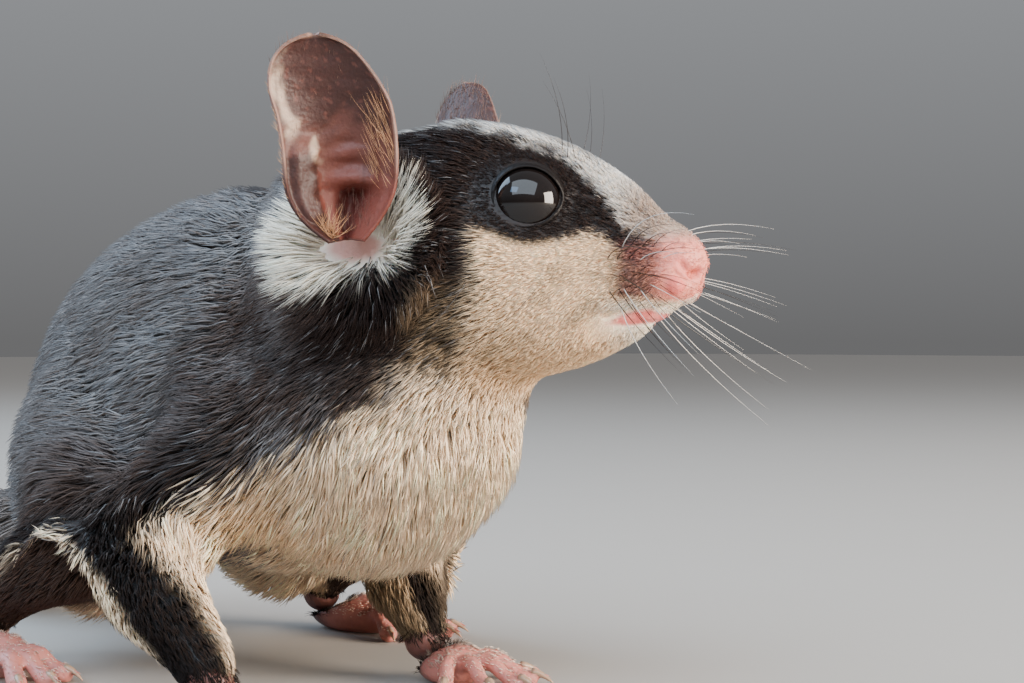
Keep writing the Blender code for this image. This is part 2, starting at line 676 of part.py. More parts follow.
def make_paw(name, palm, heading, size, digits, radius, limb):
    """A hand or a foot: its sole, digits and claws, flat on the floor, and clear of its limb."""
    ahead = np.array((math.cos(heading), math.sin(heading), 0))
    place = Matrix.Translation(palm) @ Matrix.Rotation(heading, 4, "Z")
    forms = [placed(ball((0, 0, 0), size, 3), place)]
    across = np.array((-ahead[1], ahead[0], 0))
    mirror = 1 if name.endswith("left") else -1
    for spread, length in digits:
        turn = math.radians(spread) * mirror
        root = np.array(palm) + ahead * size[0] * 0.62 * math.cos(turn)
        root = root + across * size[1] * 0.72 * math.sin(turn)
        forms.extend(digit(root, heading + turn, length, radius, palm[2]))
    paw = fused(name, forms, "skin_pink")
    thinned(paw, PAW_TRIANGLES)
    under = solid("under", half_space((0, 0, 0), (0, 0, 1)))
    cut(paw, under)
    room = grown(limb, GAP)
    cut(paw, room)
    keep_largest(paw)
    remove(under, room)
    return paw


def make_paws():
    objects = bpy.data.objects
    for name, limb, heading in (("hand_right", FORELEG_RIGHT, HAND_ANGLE_RIGHT),
                                ("hand_left", FORELEG_LEFT, HAND_ANGLE_LEFT)):
        x, y, _, _ = limb[-1]
        palm = (x + PALM_REACH * math.cos(heading), y + PALM_REACH * math.sin(heading),
                HAND_PALM[2] * 0.8)
        make_paw(name, palm, heading, HAND_PALM, HAND_DIGITS, HAND_DIGIT_RADIUS,
                 objects[name.replace("hand", "foreleg")])
    size = (FOOT_LENGTH / 2, FOOT_HALF_WIDTH, FOOT_HALF_HEIGHT)
    for side, name in ((LEFT, "foot_left"), (RIGHT, "foot_right")):
        heading = FOOT_ANGLE * side
        x, y, z = FOOT_HEEL
        reach = FOOT_LENGTH / 2 - 2
        palm = (x + reach * math.cos(heading), y * side + reach * math.sin(heading), z * 0.8)
        make_paw(name, palm, heading, size, FOOT_DIGITS, FOOT_DIGIT_RADIUS,
                 objects[name.replace("foot", "hindleg")])


def fold_form(edge, root):
    """The loose fold of the gliding membrane, from inside the flank to its free edge."""
    edge = smooth_path(edge, FOLD_STATIONS)
    root = smooth_path(root, FOLD_STATIONS)
    rings = []
    for free, held in zip(edge, root):
        across = unit(free - held)
        normal = unit(np.cross(across, (1.0, 0, 0)))
        ring = []
        for share, half in ((0, FOLD_ROOT), (0.5, 1.3), (0.85, 1.0), (1, FOLD_EDGE * 0.6)):
            ring.append(held + (free - held) * share + normal * half)
        ring.append(free + across * FOLD_EDGE)
        for share, half in ((1, FOLD_EDGE * 0.6), (0.85, 1.0), (0.5, 1.3), (0, FOLD_ROOT)):
            ring.append(held + (free - held) * share - normal * half)
        rings.append(ring)
    return lofted(rings)


def make_folds(neighbours):
    for name, edge, root in (("patagium_left", EDGE_LEFT, ROOT_LEFT),
                             ("patagium_right", EDGE_RIGHT, ROOT_RIGHT)):
        fold = solid(name, fold_form(edge, root), "coat_dark")
        for other in neighbours:
            room = grown(other, GAP)
            cut(fold, room)
            remove(room)
        keep_largest(fold)


def tail_locks(rows):
    """Tiers of flat locks round the tail's path, each lying back over the next."""
    draw = np.random.default_rng(SEED)
    path, radii = rows[:, :3], rows[:, 3]
    steps = np.linalg.norm(np.diff(path, axis=0), axis=1)
    whole = steps.sum()
    shares = np.concatenate([[0], np.cumsum(steps)]) / whole
    ahead = np.gradient(path, axis=0)
    forms = []
    for tier in range(TAIL_TIERS):
        root = TAIL_FIRST + (TAIL_LAST - TAIL_FIRST) * tier / (TAIL_TIERS - 1)
        for i in range(TAIL_LOCKS_A_TIER):
            turn = 2 * math.pi * (i + 0.5 * (tier % 2)) / TAIL_LOCKS_A_TIER + draw.uniform(-0.12, 0.12)
            length = TAIL_LOCK_LENGTH * draw.uniform(0.88, 1.08)
            reach = draw.uniform(0.93, 1.0)
            drift = draw.uniform(-0.2, 0.2)
            stations, across = [], []
            for along in np.linspace(0, 1, LOCK_STATIONS):
                at = min(root + along * length / whole, 1)
                centre = np.array([np.interp(at, shares, column) for column in path.T])
                forward = unit([np.interp(at, shares, column) for column in ahead.T])
                outer = np.interp(at, shares, radii) - TAIL_LOCK_HALF_THICKNESS
                side = unit(np.cross((0, 0, 1), forward))
                up = np.cross(forward, side)
                angle = turn + drift * along
                rise = math.sin(along * math.pi / 2) ** 0.8
                inner = TAIL_CORE * SINK * outer
                away = side * math.cos(angle) + up * math.sin(angle)
                stations.append(centre + away * (inner + (outer * reach - inner) * rise))
                across.append(np.cross(forward, away))
            size = np.interp(root, shares, radii) / max(radii)
            forms.append(lock(np.array(stations), across, TAIL_LOCK_HALF_WIDTH * (0.35 + 0.65 * size),
                              TAIL_LOCK_HALF_THICKNESS))
    return forms


def make_tail(torso):
    """The bushy tail, lying on the floor: a core under tiers of locks."""
    rows = smooth_path([(*p, r) for p, r in zip(TAIL_PATH, TAIL_RADIUS)], TAIL_RINGS)
    core = rows[:, 3] * TAIL_CORE
    forms = [tube(rows[:, :3], core, core, TAIL_SIDES), *tail_locks(rows)]
    tail = fused("tail", forms, "coat_grey")
    under = solid("under", half_space((0, 0, 0), (0, 0, 1)))
    room = grown(torso, GAP)
    cut(tail, under)
    cut(tail, room)
    remove(under, room)
    keep_largest(tail)


def stand_on_origin():
    """Puts the origin on the floor under the middle of the animal's box, and turns it to metres."""
    corners = []
    for obj in bpy.context.scene.objects:
        points = np.array([v.co for v in obj.data.vertices])
        corners.extend((points.min(axis=0), points.max(axis=0)))
    low, high = np.min(corners, axis=0), np.max(corners, axis=0)
    shift = Matrix.Translation((-(low[0] + high[0]) / 2, -(low[1] + high[1]) / 2, 0))
    for obj in bpy.context.scene.objects:
        obj.data.transform(Matrix.Scale(MM, 4) @ shift)


def main():
    clear_scene()
    body = whole_body()
    open_eyes(body)
    part_body(body)
    objects = bpy.data.objects
    make_ears(objects["head"])
    make_ruffs(objects["head"], [objects[name] for name in ("ear_left", "ear_right", "neck")])
    make_paws()
    limbs = ("foreleg_left", "foreleg_right", "hindleg_left", "hindleg_right")
    paws = ("hand_left", "hand_right", "foot_left", "foot_right")
    make_folds([objects[name] for name in ("torso", "neck", *limbs, *paws)])
    make_tail(objects["torso"])
    stand_on_origin()


main()
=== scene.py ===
# %% [markdown]
# # A sugar glider, life size
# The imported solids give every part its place. This lesson dresses them: one skin under a coat of
# fine tufts, thin folded ears, wet black eyes, pink hands and feet, claws and whiskers.

# %% The tools and the solids
import json
import math

import bmesh
import bpy
import numpy as np
from mathutils import Matrix, Vector
from mathutils.kdtree import KDTree

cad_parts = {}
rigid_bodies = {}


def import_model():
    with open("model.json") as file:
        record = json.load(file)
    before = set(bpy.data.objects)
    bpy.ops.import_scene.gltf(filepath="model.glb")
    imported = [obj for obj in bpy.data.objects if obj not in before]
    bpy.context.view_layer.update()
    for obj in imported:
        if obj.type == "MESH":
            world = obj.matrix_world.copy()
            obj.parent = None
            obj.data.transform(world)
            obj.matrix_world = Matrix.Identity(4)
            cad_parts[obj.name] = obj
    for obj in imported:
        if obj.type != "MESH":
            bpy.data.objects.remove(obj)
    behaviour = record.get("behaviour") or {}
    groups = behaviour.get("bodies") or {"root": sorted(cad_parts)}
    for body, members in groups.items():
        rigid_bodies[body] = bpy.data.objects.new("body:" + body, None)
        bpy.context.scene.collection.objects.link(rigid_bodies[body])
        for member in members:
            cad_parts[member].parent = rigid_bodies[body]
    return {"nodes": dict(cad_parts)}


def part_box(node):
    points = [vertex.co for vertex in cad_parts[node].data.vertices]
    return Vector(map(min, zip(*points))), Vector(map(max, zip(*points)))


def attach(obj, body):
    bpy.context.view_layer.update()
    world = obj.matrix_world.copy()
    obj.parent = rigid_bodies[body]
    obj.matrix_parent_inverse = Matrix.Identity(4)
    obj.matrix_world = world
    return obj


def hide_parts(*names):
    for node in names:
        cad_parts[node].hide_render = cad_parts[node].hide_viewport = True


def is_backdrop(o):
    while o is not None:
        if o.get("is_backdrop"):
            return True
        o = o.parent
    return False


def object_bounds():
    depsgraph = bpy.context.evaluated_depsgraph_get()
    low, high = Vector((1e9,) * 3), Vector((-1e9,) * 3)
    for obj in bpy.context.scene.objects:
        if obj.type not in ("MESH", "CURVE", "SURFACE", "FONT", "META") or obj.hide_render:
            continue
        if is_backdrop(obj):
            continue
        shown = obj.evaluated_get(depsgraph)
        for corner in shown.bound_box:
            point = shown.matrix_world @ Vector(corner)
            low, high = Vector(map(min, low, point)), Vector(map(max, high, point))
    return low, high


for left_over in list(bpy.data.objects):
    bpy.data.objects.remove(left_over)
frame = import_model()
solids_box = [list(corner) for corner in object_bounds()]
print("solids", sorted(frame["nodes"]))

# %% [markdown]
# Small anatomy is easiest in millimetres, in the animal's own frame: +X where the chest faces, +Y its
# left, +Z up. The head has one more frame, turned to the animal's left. The middle of an eye is known
# in both, so it ties the animal's frame to the one the solids came in.

# %% The animal's own frame
MM = 0.001
HEAD_CENTRE = np.array((4.0, 0.0, 48.5))
HEAD_TURN = math.radians(28)
EYE_CENTRE = np.array((16.1, 5.4, 1.2))
EYE_AXIS = (0.33, 0.93, 0.16)
EYE_RADIUS = 3.75
SIDES = {"left": 1, "right": -1}
HEAD_AXES = np.array(Matrix.Rotation(HEAD_TURN, 3, "Z"))


def from_head(points):
    """Places of the head's frame, in the animal's."""
    return np.asarray(points, float) @ HEAD_AXES.T + HEAD_CENTRE


def to_head(points):
    """Places of the animal's frame, in the head's."""
    return (np.asarray(points, float) - HEAD_CENTRE) @ HEAD_AXES


def unit(vectors):
    """The same directions, all one long."""
    vectors = np.asarray(vectors, float)
    return vectors / np.maximum(np.linalg.norm(vectors, axis=-1, keepdims=True), 1e-9)


low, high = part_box("eye_right")
SHIFT = np.array((low + high) / 2) / MM - from_head(EYE_CENTRE * (1, -1, 1))
print("the animal's frame starts at", SHIFT.round(2), "mm")


def to_row(points):
    """Millimetres in the animal's frame, as metres in the solids' frame."""
    return (np.asarray(points, float) + SHIFT) * MM


def from_row(points):
    """Metres in the solids' frame, as millimetres in the animal's frame."""
    return np.asarray(points, float) / MM - SHIFT


# %% [markdown]
# The camera comes first, so that every later piece can be judged in the photograph's frame. It stands
# at the animal's own level, some twenty centimetres off, and looks at its right side from a little
# ahead of it.

# %% Camera
CAMERA_PLACE = (162.202, -117.876, 36.4)
CAMERA_LOOK = (-0.766, 0.643, 0)
CAMERA_LENS, CAMERA_SENSOR = 68.1, 36
CAMERA_NEAREST = 0.005
camera_data = bpy.data.cameras.new("camera")
camera_data.lens = CAMERA_LENS
camera_data.sensor_width = CAMERA_SENSOR
camera_data.clip_start = CAMERA_NEAREST
camera = bpy.data.objects.new("camera", camera_data)
bpy.context.scene.collection.objects.link(camera)
camera.location = to_row(CAMERA_PLACE)
camera.rotation_euler = Vector(CAMERA_LOOK).to_track_quat("-Z", "Y").to_euler()
bpy.context.scene.camera = camera
print("camera at", tuple(round(v, 4) for v in camera.location))

# %% [markdown]
# These helpers do by code what a modeller does with the mouse: pick an object, add a shape, join,
# edit a whole mesh, apply modifiers. Every piece below is made with them.

# %% Helpers for objects
WELD_GAP = 0.00001
UNWRAP_ANGLE = math.radians(66)


def pick(*objects):
    """Selects objects, with the first of them active."""
    bpy.ops.object.select_all(action="DESELECT")
    for obj in objects:
        obj.select_set(True)
    bpy.context.view_layer.objects.active = objects[0]


def add_shape(operator, name, **values):
    """A new basic shape, selected on its own."""
    bpy.ops.object.select_all(action="DESELECT")
    operator(**values)
    made = bpy.context.object
    made.name = name
    return made


def join(name, *objects):
    pick(*objects)
    bpy.ops.object.join()
    made = bpy.context.object
    made.name = name
    return made


def smooth(obj):
    pick(obj)
    bpy.ops.object.shade_smooth()


def edit_whole(obj, *jobs):
    """Runs jobs in edit mode, with one whole mesh selected."""
    pick(obj)
    bpy.ops.object.mode_set(mode="EDIT")
    bpy.ops.mesh.select_all(action="SELECT")
    for job in jobs:
        job()
    bpy.ops.object.mode_set(mode="OBJECT")


def weld():
    bpy.ops.mesh.remove_doubles(threshold=WELD_GAP)


def face_outward():
    bpy.ops.mesh.normals_make_consistent(inside=False)


def unwrap(obj, margin, *jobs):
    """Gives a mesh the map OFBake from its own shape, after some other jobs."""
    obj.data.uv_layers.new(name="OFBake")
    edit_whole(obj, *jobs, lambda: bpy.ops.uv.smart_project(angle_limit=UNWRAP_ANGLE, island_margin=margin))
    smooth(obj)


def add_modifier(obj, kind, **values):
    made = obj.modifiers.new(kind.lower(), kind)
    for key, value in values.items():
        setattr(made, key, value)


def apply_all(obj):
    """Turns an object's modifiers into mesh."""
    pick(obj)
    for modifier in list(obj.modifiers):
        bpy.ops.object.modifier_apply(modifier=modifier.name)


def copy_solid(node):
    """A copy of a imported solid, with its doubled points merged."""
    obj = frame["nodes"][node].copy()
    obj.data = obj.data.copy()
    for key in list(obj.keys()):
        del obj[key]
    obj.parent = None
    bpy.context.scene.collection.objects.link(obj)
    edit_whole(obj, weld)
    return obj


# %% [markdown]
# Python is slow over a hundred thousand points, one by one. These helpers read and write all points
# of a mesh at once, as arrays, and even values out over its edges.

# %% Helpers for meshes
def read_all(rows, name, width=1, kind=float):
    """One value of every row of a mesh's table."""
    flat = np.zeros(len(rows) * width, kind)
    rows.foreach_get(name, flat)
    return flat.reshape(-1, width) if width > 1 else flat


def places(mesh):
    """The mesh's points, in millimetres in the animal's frame."""
    return from_row(read_all(mesh.vertices, "co", 3))


def normals(mesh):
    return read_all(mesh.vertices, "normal", 3)


def links(mesh):
    """The two points of each edge."""
    return read_all(mesh.edges, "vertices", 2, int)


def move_to(mesh, points):
    mesh.vertices.foreach_set("co", to_row(points).ravel())
    mesh.update()


def search_tree(points):
    """A tree that finds the nearest of many places."""
    tree = KDTree(len(points))
    for i, place in enumerate(points):
        tree.insert(place, i)
    tree.balance()
    return tree


def softened(values, edges, rounds):
    """Values at the points, evened out with their neighbours' a number of times."""
    values = np.asarray(values, float)
    flat = values.reshape(len(values), -1)
    count = np.bincount(edges.ravel(), minlength=len(flat)).clip(1)[:, None]
    for _ in range(rounds):
        total = np.stack([np.bincount(edges[:, 0], column[edges[:, 1]], len(flat))
                          + np.bincount(edges[:, 1], column[edges[:, 0]], len(flat))
                          for column in flat.T], axis=1)
        flat = total / count
    return flat.reshape(values.shape)


print("points of the head's solid", len(places(frame["nodes"]["head"].data)))

# %% [markdown]
# Smooth masks answer one question for any place on the animal: how much of this is here? Carving,
# markings and fur all use the same few, so that they agree about where things are.

# %% Helpers for masks
WAVE_COUNT = 7
CURVE_ROUNDS, CURVE_STATIONS = 4, 200


def step(values, start, end):
    """0 before start and 1 after end, with a smooth rise between them."""
    t = np.clip((np.asarray(values, float) - start) / (end - start), 0, 1)
    return t * t * (3 - 2 * t)


def fall(values, start, end):
    """1 before start and 0 after end."""
    return 1 - step(values, start, end)


def bump(values, middle, width):
    """1 at the middle, with a soft drop on either side."""
    return np.exp(-(((values - middle) / width) ** 2))


def blend(base, tint, share):
    return base + (np.asarray(tint) - base) * np.asarray(share)[..., None]


def gap_to(points, place):
    return np.linalg.norm(points - place, axis=1)


def even_side(points):
    """The same places, all on the left side."""
    return np.stack([points[:, 0], np.abs(points[:, 1]), points[:, 2]], axis=1)


def near_line(points, line, radius, soft):
    """1 on a line of points and 0 farther from it than radius + soft."""
    line = np.asarray(line, float)
    best = np.full(len(points), 1e9)
    for a, b in zip(line[:-1], line[1:]):
        t = np.clip(((points - a) @ (b - a)) / ((b - a) @ (b - a)), 0, 1)
        best = np.minimum(best, np.linalg.norm(points - a - t[:, None] * (b - a), axis=1))
    return fall(best, radius - soft, radius + soft)


def waves(points, size, seed=0):
    """A soft random field between about -1 and 1, with blotches of the given size."""
    draw = np.random.default_rng(seed)
    total = np.zeros(len(points))
    for _ in range(WAVE_COUNT):
        way = unit(draw.normal(size=3)) * draw.uniform(0.7, 1.5) * 2 * math.pi / size
        total += np.sin(points @ way + draw.uniform(0, 6.28))
    return total / 3


def curve(stations, at):
    """A straight-line reading of (place, value) stations."""
    known, values = np.array(stations, float).T
    return np.interp(at, known, values)


def fine_path(points, count):
    """Evenly spaced rows on a curve that rounds off rows of numbers."""
    rows = np.array(points, float)
    for _ in range(CURVE_ROUNDS):
        near = rows[:-1] * 0.75 + rows[1:] * 0.25
        far = rows[:-1] * 0.25 + rows[1:] * 0.75
        corners = np.stack([near, far], axis=1).reshape(-1, rows.shape[1])
        rows = np.concatenate([rows[:1], corners[1:-1], rows[-1:]])
    along = np.concatenate([[0], np.cumsum(np.linalg.norm(np.diff(rows[:, :3], axis=0), axis=1))])
    at = np.linspace(0, along[-1], count)
    return np.stack([np.interp(at, along, column) for column in rows.T], axis=1)


def flowing(stations, at):
    """A rounded reading of (place, value) stations."""
    return curve(fine_path(stations, CURVE_STATIONS), at)


print("a mask halfway up its rise", float(step(0.5, 0, 1)))

# %% [markdown]
# ## The skin
# The real animal is one skin. The solids of the flesh are copied, swollen until the thin gaps between
# them close, remeshed into one surface, smoothed, and sunk by the depth of the coat, so that the tips
# of the fur come out where the solids end. The tail's solid is a core under locks, so here a plain
# core takes its place.

# %% The tail's core
TAIL_PATH = [(-60, 0, 20), (-70, -0.3, 14), (-82, -1.5, 9.6), (-100, -4, 9.3), (-125, -8.5, 9.7),
             (-152, -15.5, 9.3), (-178, -25.5, 7.2), (-196, -35, 4.2), (-206, -41.5, 1.4)]
TAIL_RADIUS = [5.5, 7.4, 9.2, 10.6, 11.4, 10.9, 8.6, 5.2, 1.2]
TAIL_CORE, TAIL_CORE_EXTRA = 0.34, 0.5
TAIL_STATIONS, TAIL_SIDES = 90, 16


def wrapped_tube(name, path, radii, sides):
    """A grid wrapped round a path and closed at both ends."""
    path, radii = np.asarray(path, float), np.asarray(radii, float)
    obj = add_shape(bpy.ops.mesh.primitive_cylinder_add, name, vertices=sides, end_fill_type="TRIFAN",
                    depth=len(path) - 1)
    bpy.ops.object.mode_set(mode="EDIT")
    made = bmesh.from_edit_mesh(obj.data)
    for edge in made.edges:
        edge.select_set(abs(edge.verts[0].co.z - edge.verts[1].co.z) > 0.5)
    bmesh.update_edit_mesh(obj.data)
    bpy.ops.mesh.subdivide(number_cuts=len(path) - 2)
    bpy.ops.object.mode_set(mode="OBJECT")
    ahead = unit(np.gradient(path, axis=0))
    side = unit(np.cross(np.where(np.abs(ahead[:, 2:]) < 0.9, (0, 0, 1.0), (1.0, 0, 0)), ahead))
    up = np.cross(ahead, side)
    local = np.array([v.co for v in obj.data.vertices])
    ring = np.round(local[:, 2] + (len(path) - 1) / 2).astype(int)
    reach = radii[ring][:, None]
    placed = path[ring] + side[ring] * local[:, :1] * reach + up[ring] * local[:, 1:2] * reach
    move_to(obj.data, placed)
    return obj


tail_rows = fine_path([(*place, radius) for place, radius in zip(TAIL_PATH, TAIL_RADIUS)], TAIL_STATIONS)
tail_core = wrapped_tube("tail_core", tail_rows[:, :3], tail_rows[:, 3] * TAIL_CORE + TAIL_CORE_EXTRA,
                         TAIL_SIDES)
print("tail core", len(tail_core.data.vertices), "points")

# %% [markdown]
# Now the flesh itself. A voxel remesh turns overlapping solids into one closed surface, as clay over
# an armature would. Which solid each part of it came from is kept, to find the membranes again.

# %% The body's skin, in one surface
SWELL = 0.25
SKIN_VOXEL = 0.8
FLESH = ["torso", "neck", "head", "foreleg_left", "foreleg_right", "hindleg_left", "hindleg_right",
         "patagium_left", "patagium_right", "eye_left", "eye_right"]
copies = []
for node in FLESH:
    copied = copy_solid(node)
    add_modifier(copied, "DISPLACE", mid_level=0, strength=SWELL * MM)
    apply_all(copied)
    copies.append(copied)
node_of_point = np.concatenate([np.full(len(obj.data.vertices), i) for i, obj in enumerate(copies)])
points_of_nodes = np.concatenate([places(obj.data) for obj in copies])
skin = join("skin", *copies, tail_core)
skin.data.name = "skin"
skin.data.materials.clear()
add_modifier(skin, "REMESH", mode="VOXEL", voxel_size=SKIN_VOXEL * MM)
apply_all(skin)
print("skin", len(skin.data.polygons), "faces")

# %% [markdown]
# Each point of the skin takes its regions from named lines and places: the head, the legs, the tail.
# They set how deep the coat is there and, further on, which way it lies and how long it is.

# %% Regions of the body
FORELEG_RIGHT = [(-4, -11, 27), (-12, -18.5, 17), (-4.5, -22.3, 10.5), (4, -22.3, 4.6)]
FORELEG_LEFT = [(-5, 8.5, 24), (-9.2, 9.4, 14.5), (-7.2, 9.2, 9.2), (-4, 9.4, 4.6)]
HINDLEG_RIGHT = [(-48, -8.5, 25), (-27, -18.5, 16.5), (-36, -21.5, 10), (-43, -22.6, 5)]
HINDLEG_LEFT = [(x, -y, z) for x, y, z in HINDLEG_RIGHT]
LEGS = {"foreleg_right": FORELEG_RIGHT, "foreleg_left": FORELEG_LEFT,
        "hindleg_right": HINDLEG_RIGHT, "hindleg_left": HINDLEG_LEFT}
LEG_RADII = {"foreleg_right": 6.5, "foreleg_left": 5.6, "hindleg_right": 6.6, "hindleg_left": 6.6}
EAR_FOOT = np.array((0.4, 11.6, -2.6))
NECK_CREASE = [(-5, -14.7, 38.6), (1.4, -14.6, 35.3), (6.3, -14.5, 33.8), (10, -13.1, 32.6),
               (13.5, -10, 30.6)]
SHOULDER_CREASE = [(-3, -19.2, 28), (0.5, -18, 26.4), (2.2, -16, 24.6), (5.1, -13.5, 21.8)]


def regions(points):
    """How much each place belongs to the face, the head, the legs and the tail."""
    head = to_head(points)
    made = {"head": step(head[:, 0], -16, -9) * step(points[:, 2], 28, 33)}
    made["face"] = step(head[:, 0], 9, 19) * made["head"]
    made["nose"] = step(head[:, 0], 28.2, 30.2) * made["head"]
    made["tail"] = step(-points[:, 0], 62, 70)
    legs = np.zeros(len(points))
    for name, line in LEGS.items():
        legs = np.maximum(legs, near_line(points, line[1:], LEG_RADII[name] + 1, 2))
    made["legs"] = legs * step(-points[:, 2], -21, -13)
    away = gap_to(even_side(head), EAR_FOOT)
    made["ruff"] = fall(away, 5.5, 10.5) * made["head"]
    gaps = [gap_to(head, EYE_CENTRE * (1, side, 1)) for side in (1, -1)]
    made["eyelid"] = fall(np.minimum(*gaps), 4.6, 6.2)
    return made


print("four legs:", *LEGS)

# %% [markdown]
# The new surface still shows the steps of its voxels and the joins of its solids, so it is evened
# out, most of all where neck, head and ears meet. Then it is sunk by the depth of the coat: most on
# the trunk, little on face and limbs, and hardly at all on the thin gliding membrane.

# %% The skin, sunk under the coat
TRUNK_DEPTH, WRIST_DEPTH, MEMBRANE_DEPTH = 2.6, 0.3, 0.35
COAT_DEPTHS = {"head": 1.35, "face": 0.65, "ruff": 2.1, "nose": -0.25, "legs": 1.25, "tail": 0.2,
               "eyelid": 0.75}
EVEN_ROUNDS, JOINT_ROUNDS, FOLD_ROUNDS, DEPTH_ROUNDS, SINK_ROUNDS = 5, 30, 6, 4, 2


def coat_depth(points):
    """How far the skin lies below the tips of the coat, in millimetres."""
    area = regions(points)
    depth = np.full(len(points), TRUNK_DEPTH)
    for name, value in COAT_DEPTHS.items():
        depth += area[name] * (value - depth)
    depth += area["legs"] * fall(points[:, 2], 7, 12) * (WRIST_DEPTH - depth)
    return depth


edges = links(skin.data)
points = places(skin.data)
area = regions(points)
gentle = softened(points, edges, EVEN_ROUNDS)
strong = softened(gentle, edges, JOINT_ROUNDS)
head = to_head(points)
joint = step(head[:, 0], -26, -18) * fall(head[:, 0], 3, 9) * step(points[:, 2], 24, 31)
mix = (np.maximum(area["ruff"], joint) * (1 - area["eyelid"]))[:, None]
points = gentle * (1 - mix) + strong * mix
move_to(skin.data, points)
nearest = search_tree(points_of_nodes)
owner = np.array([node_of_point[nearest.find(place)[1]] for place in points])
membranes = [FLESH.index("patagium_left"), FLESH.index("patagium_right")]
fold = softened(np.isin(owner, membranes), edges, FOLD_ROUNDS)
depth = coat_depth(points) * (1 - fold) + MEMBRANE_DEPTH * fold + SWELL
depth = softened(depth, edges, DEPTH_ROUNDS)
points = softened(points - normals(skin.data) * depth[:, None], edges, SINK_ROUNDS)
move_to(skin.data, points)
print("skin sunk by", depth.min().round(2), "to", depth.max().round(2), "mm")

# %% [markdown]
# Under the fur, wrists and ankles are much thinner than the limbs look, so their points are drawn in
# towards the line of the bones. The two deep creases beside the neck and the shoulder, which show in
# the photograph as dark lines, are pressed in too.

# %% Thin wrists and deep creases
BONE_STATIONS = 40
WRIST_PULL = 0.36
CREASE_DEPTH, CREASE_WIDTH, CREASE_SOFT = 1.3, 0.8, 1.6
CREASE_ROUNDS = 2
for line in LEGS.values():
    bones = fine_path(line, BONE_STATIONS)[::2]
    gaps = np.linalg.norm(points[:, None] - bones[None], axis=2)
    share = fall(gaps.min(axis=1), 7, 9) * fall(points[:, 2], 4, 10.5) * step(points[:, 2], -9, 0)
    middle = bones[gaps.argmin(axis=1)]
    points = points + (middle - points) * (WRIST_PULL * share)[:, None]
creases = np.maximum(*[near_line(points, line, CREASE_WIDTH, CREASE_SOFT)
                       for line in (NECK_CREASE, SHOULDER_CREASE)])
pressed = CREASE_DEPTH * softened(creases, edges, CREASE_ROUNDS)
points = points - normals(skin.data) * pressed[:, None]
move_to(skin.data, points)
print("creases pressed in by up to", pressed.max().round(2), "mm")

# %% [markdown]
# The face needs points three times closer than the body, for the nostrils, the lips and the rims of
# the lids. Only its faces are subdivided, and the new points are evened out before the carving.

# %% A finer mesh on the face
FACE_FROM, FACE_ABOVE = 8.5, 30
FACE_CUTS, FACE_ROUNDS = 2, 7
pick(skin)
bpy.ops.object.mode_set(mode="EDIT")
bpy.ops.mesh.select_all(action="DESELECT")
made = bmesh.from_edit_mesh(skin.data)
middles = from_row([face.calc_center_median() for face in made.faces])
ahead = to_head(middles)[:, 0]
for face, x, z in zip(made.faces, ahead, middles[:, 2]):
    face.select_set(bool(x > FACE_FROM and z > FACE_ABOVE))
bmesh.update_edit_mesh(skin.data)
bpy.ops.mesh.subdivide(number_cuts=FACE_CUTS)
bpy.ops.mesh.select_all(action="SELECT")
bpy.ops.mesh.quads_convert_to_tris()
bpy.ops.object.mode_set(mode="OBJECT")
edges = links(skin.data)
points = places(skin.data)
head = to_head(points)
fine = (step(head[:, 0], FACE_FROM, 10) * step(points[:, 2], 29, 31))[:, None]
points = points * (1 - fine) + softened(points, edges, FACE_ROUNDS) * fine
move_to(skin.data, points)
print("skin with a fine face", len(skin.data.polygons), "triangles")

# %% [markdown]
# The carving presses and lifts points along their normals: the line of the mouth with the soft swell
# of the lips, comma-shaped nostrils, the groove between them, and the bumps the whiskers grow from.

# %% The face, carved
MOUTH = [(31.0, 0.0, -8.7), (29.4, 1.5, -8.85), (27.9, 2.7, -9.0), (26.0, 3.9, -9.2),
         (24.0, 4.7, -9.7)]
LOWER_LIP = [(28.3, 0.0, -9.9), (27.4, 1.9, -9.95), (26.2, 3.0, -10.15), (24.9, 3.9, -10.45),
             (23.8, 4.5, -10.7)]
NOSTRIL = [(32.1, 1.2, -5.6), (31.8, 1.9, -5.8), (31.2, 2.6, -5.5), (30.8, 2.9, -4.8)]
NOSE_LOBE = (30.4, 3.3, -6.9)
NOSE_WING = [(31.9, 1.3, -6.9), (31.2, 2.5, -6.5), (30.3, 3.5, -5.6)]
SNOUT_FROM = 18
LINE_STATIONS = 40
WHISKER_ROWS, WHISKER_COLUMNS = 5, 6
WHISKER_FIRST = (28.9, -3.0)
WHISKER_GAPS, WHISKER_CHANCE = (0.95, 1.22), 0.14
WHISKER_BUMP = 0.09


def line_gap(points, line):
    """Distance from a line of points, on either side of the head."""
    line = fine_path(line, LINE_STATIONS)
    best = np.full(len(points), 1e9)
    for place in line:
        best = np.minimum(best, gap_to(points, place))
    return best


def moved(line, *shift):
    return np.array(line) + shift


def whisker_roots():
    """Where the whiskers grow on one side of the snout, as (x, z) in the head's frame."""
    draw = np.random.default_rng(31)
    roots = []
    for row in range(WHISKER_ROWS):
        for column in range(WHISKER_COLUMNS - (row in (0, 4))):
            x = WHISKER_FIRST[0] - column * WHISKER_GAPS[0] - 0.25 * (row % 2)
            z = WHISKER_FIRST[1] - row * WHISKER_GAPS[1] - 0.05 * column
            roots.append((x, z) + draw.normal(0, WHISKER_CHANCE, 2))
    return np.array(roots)


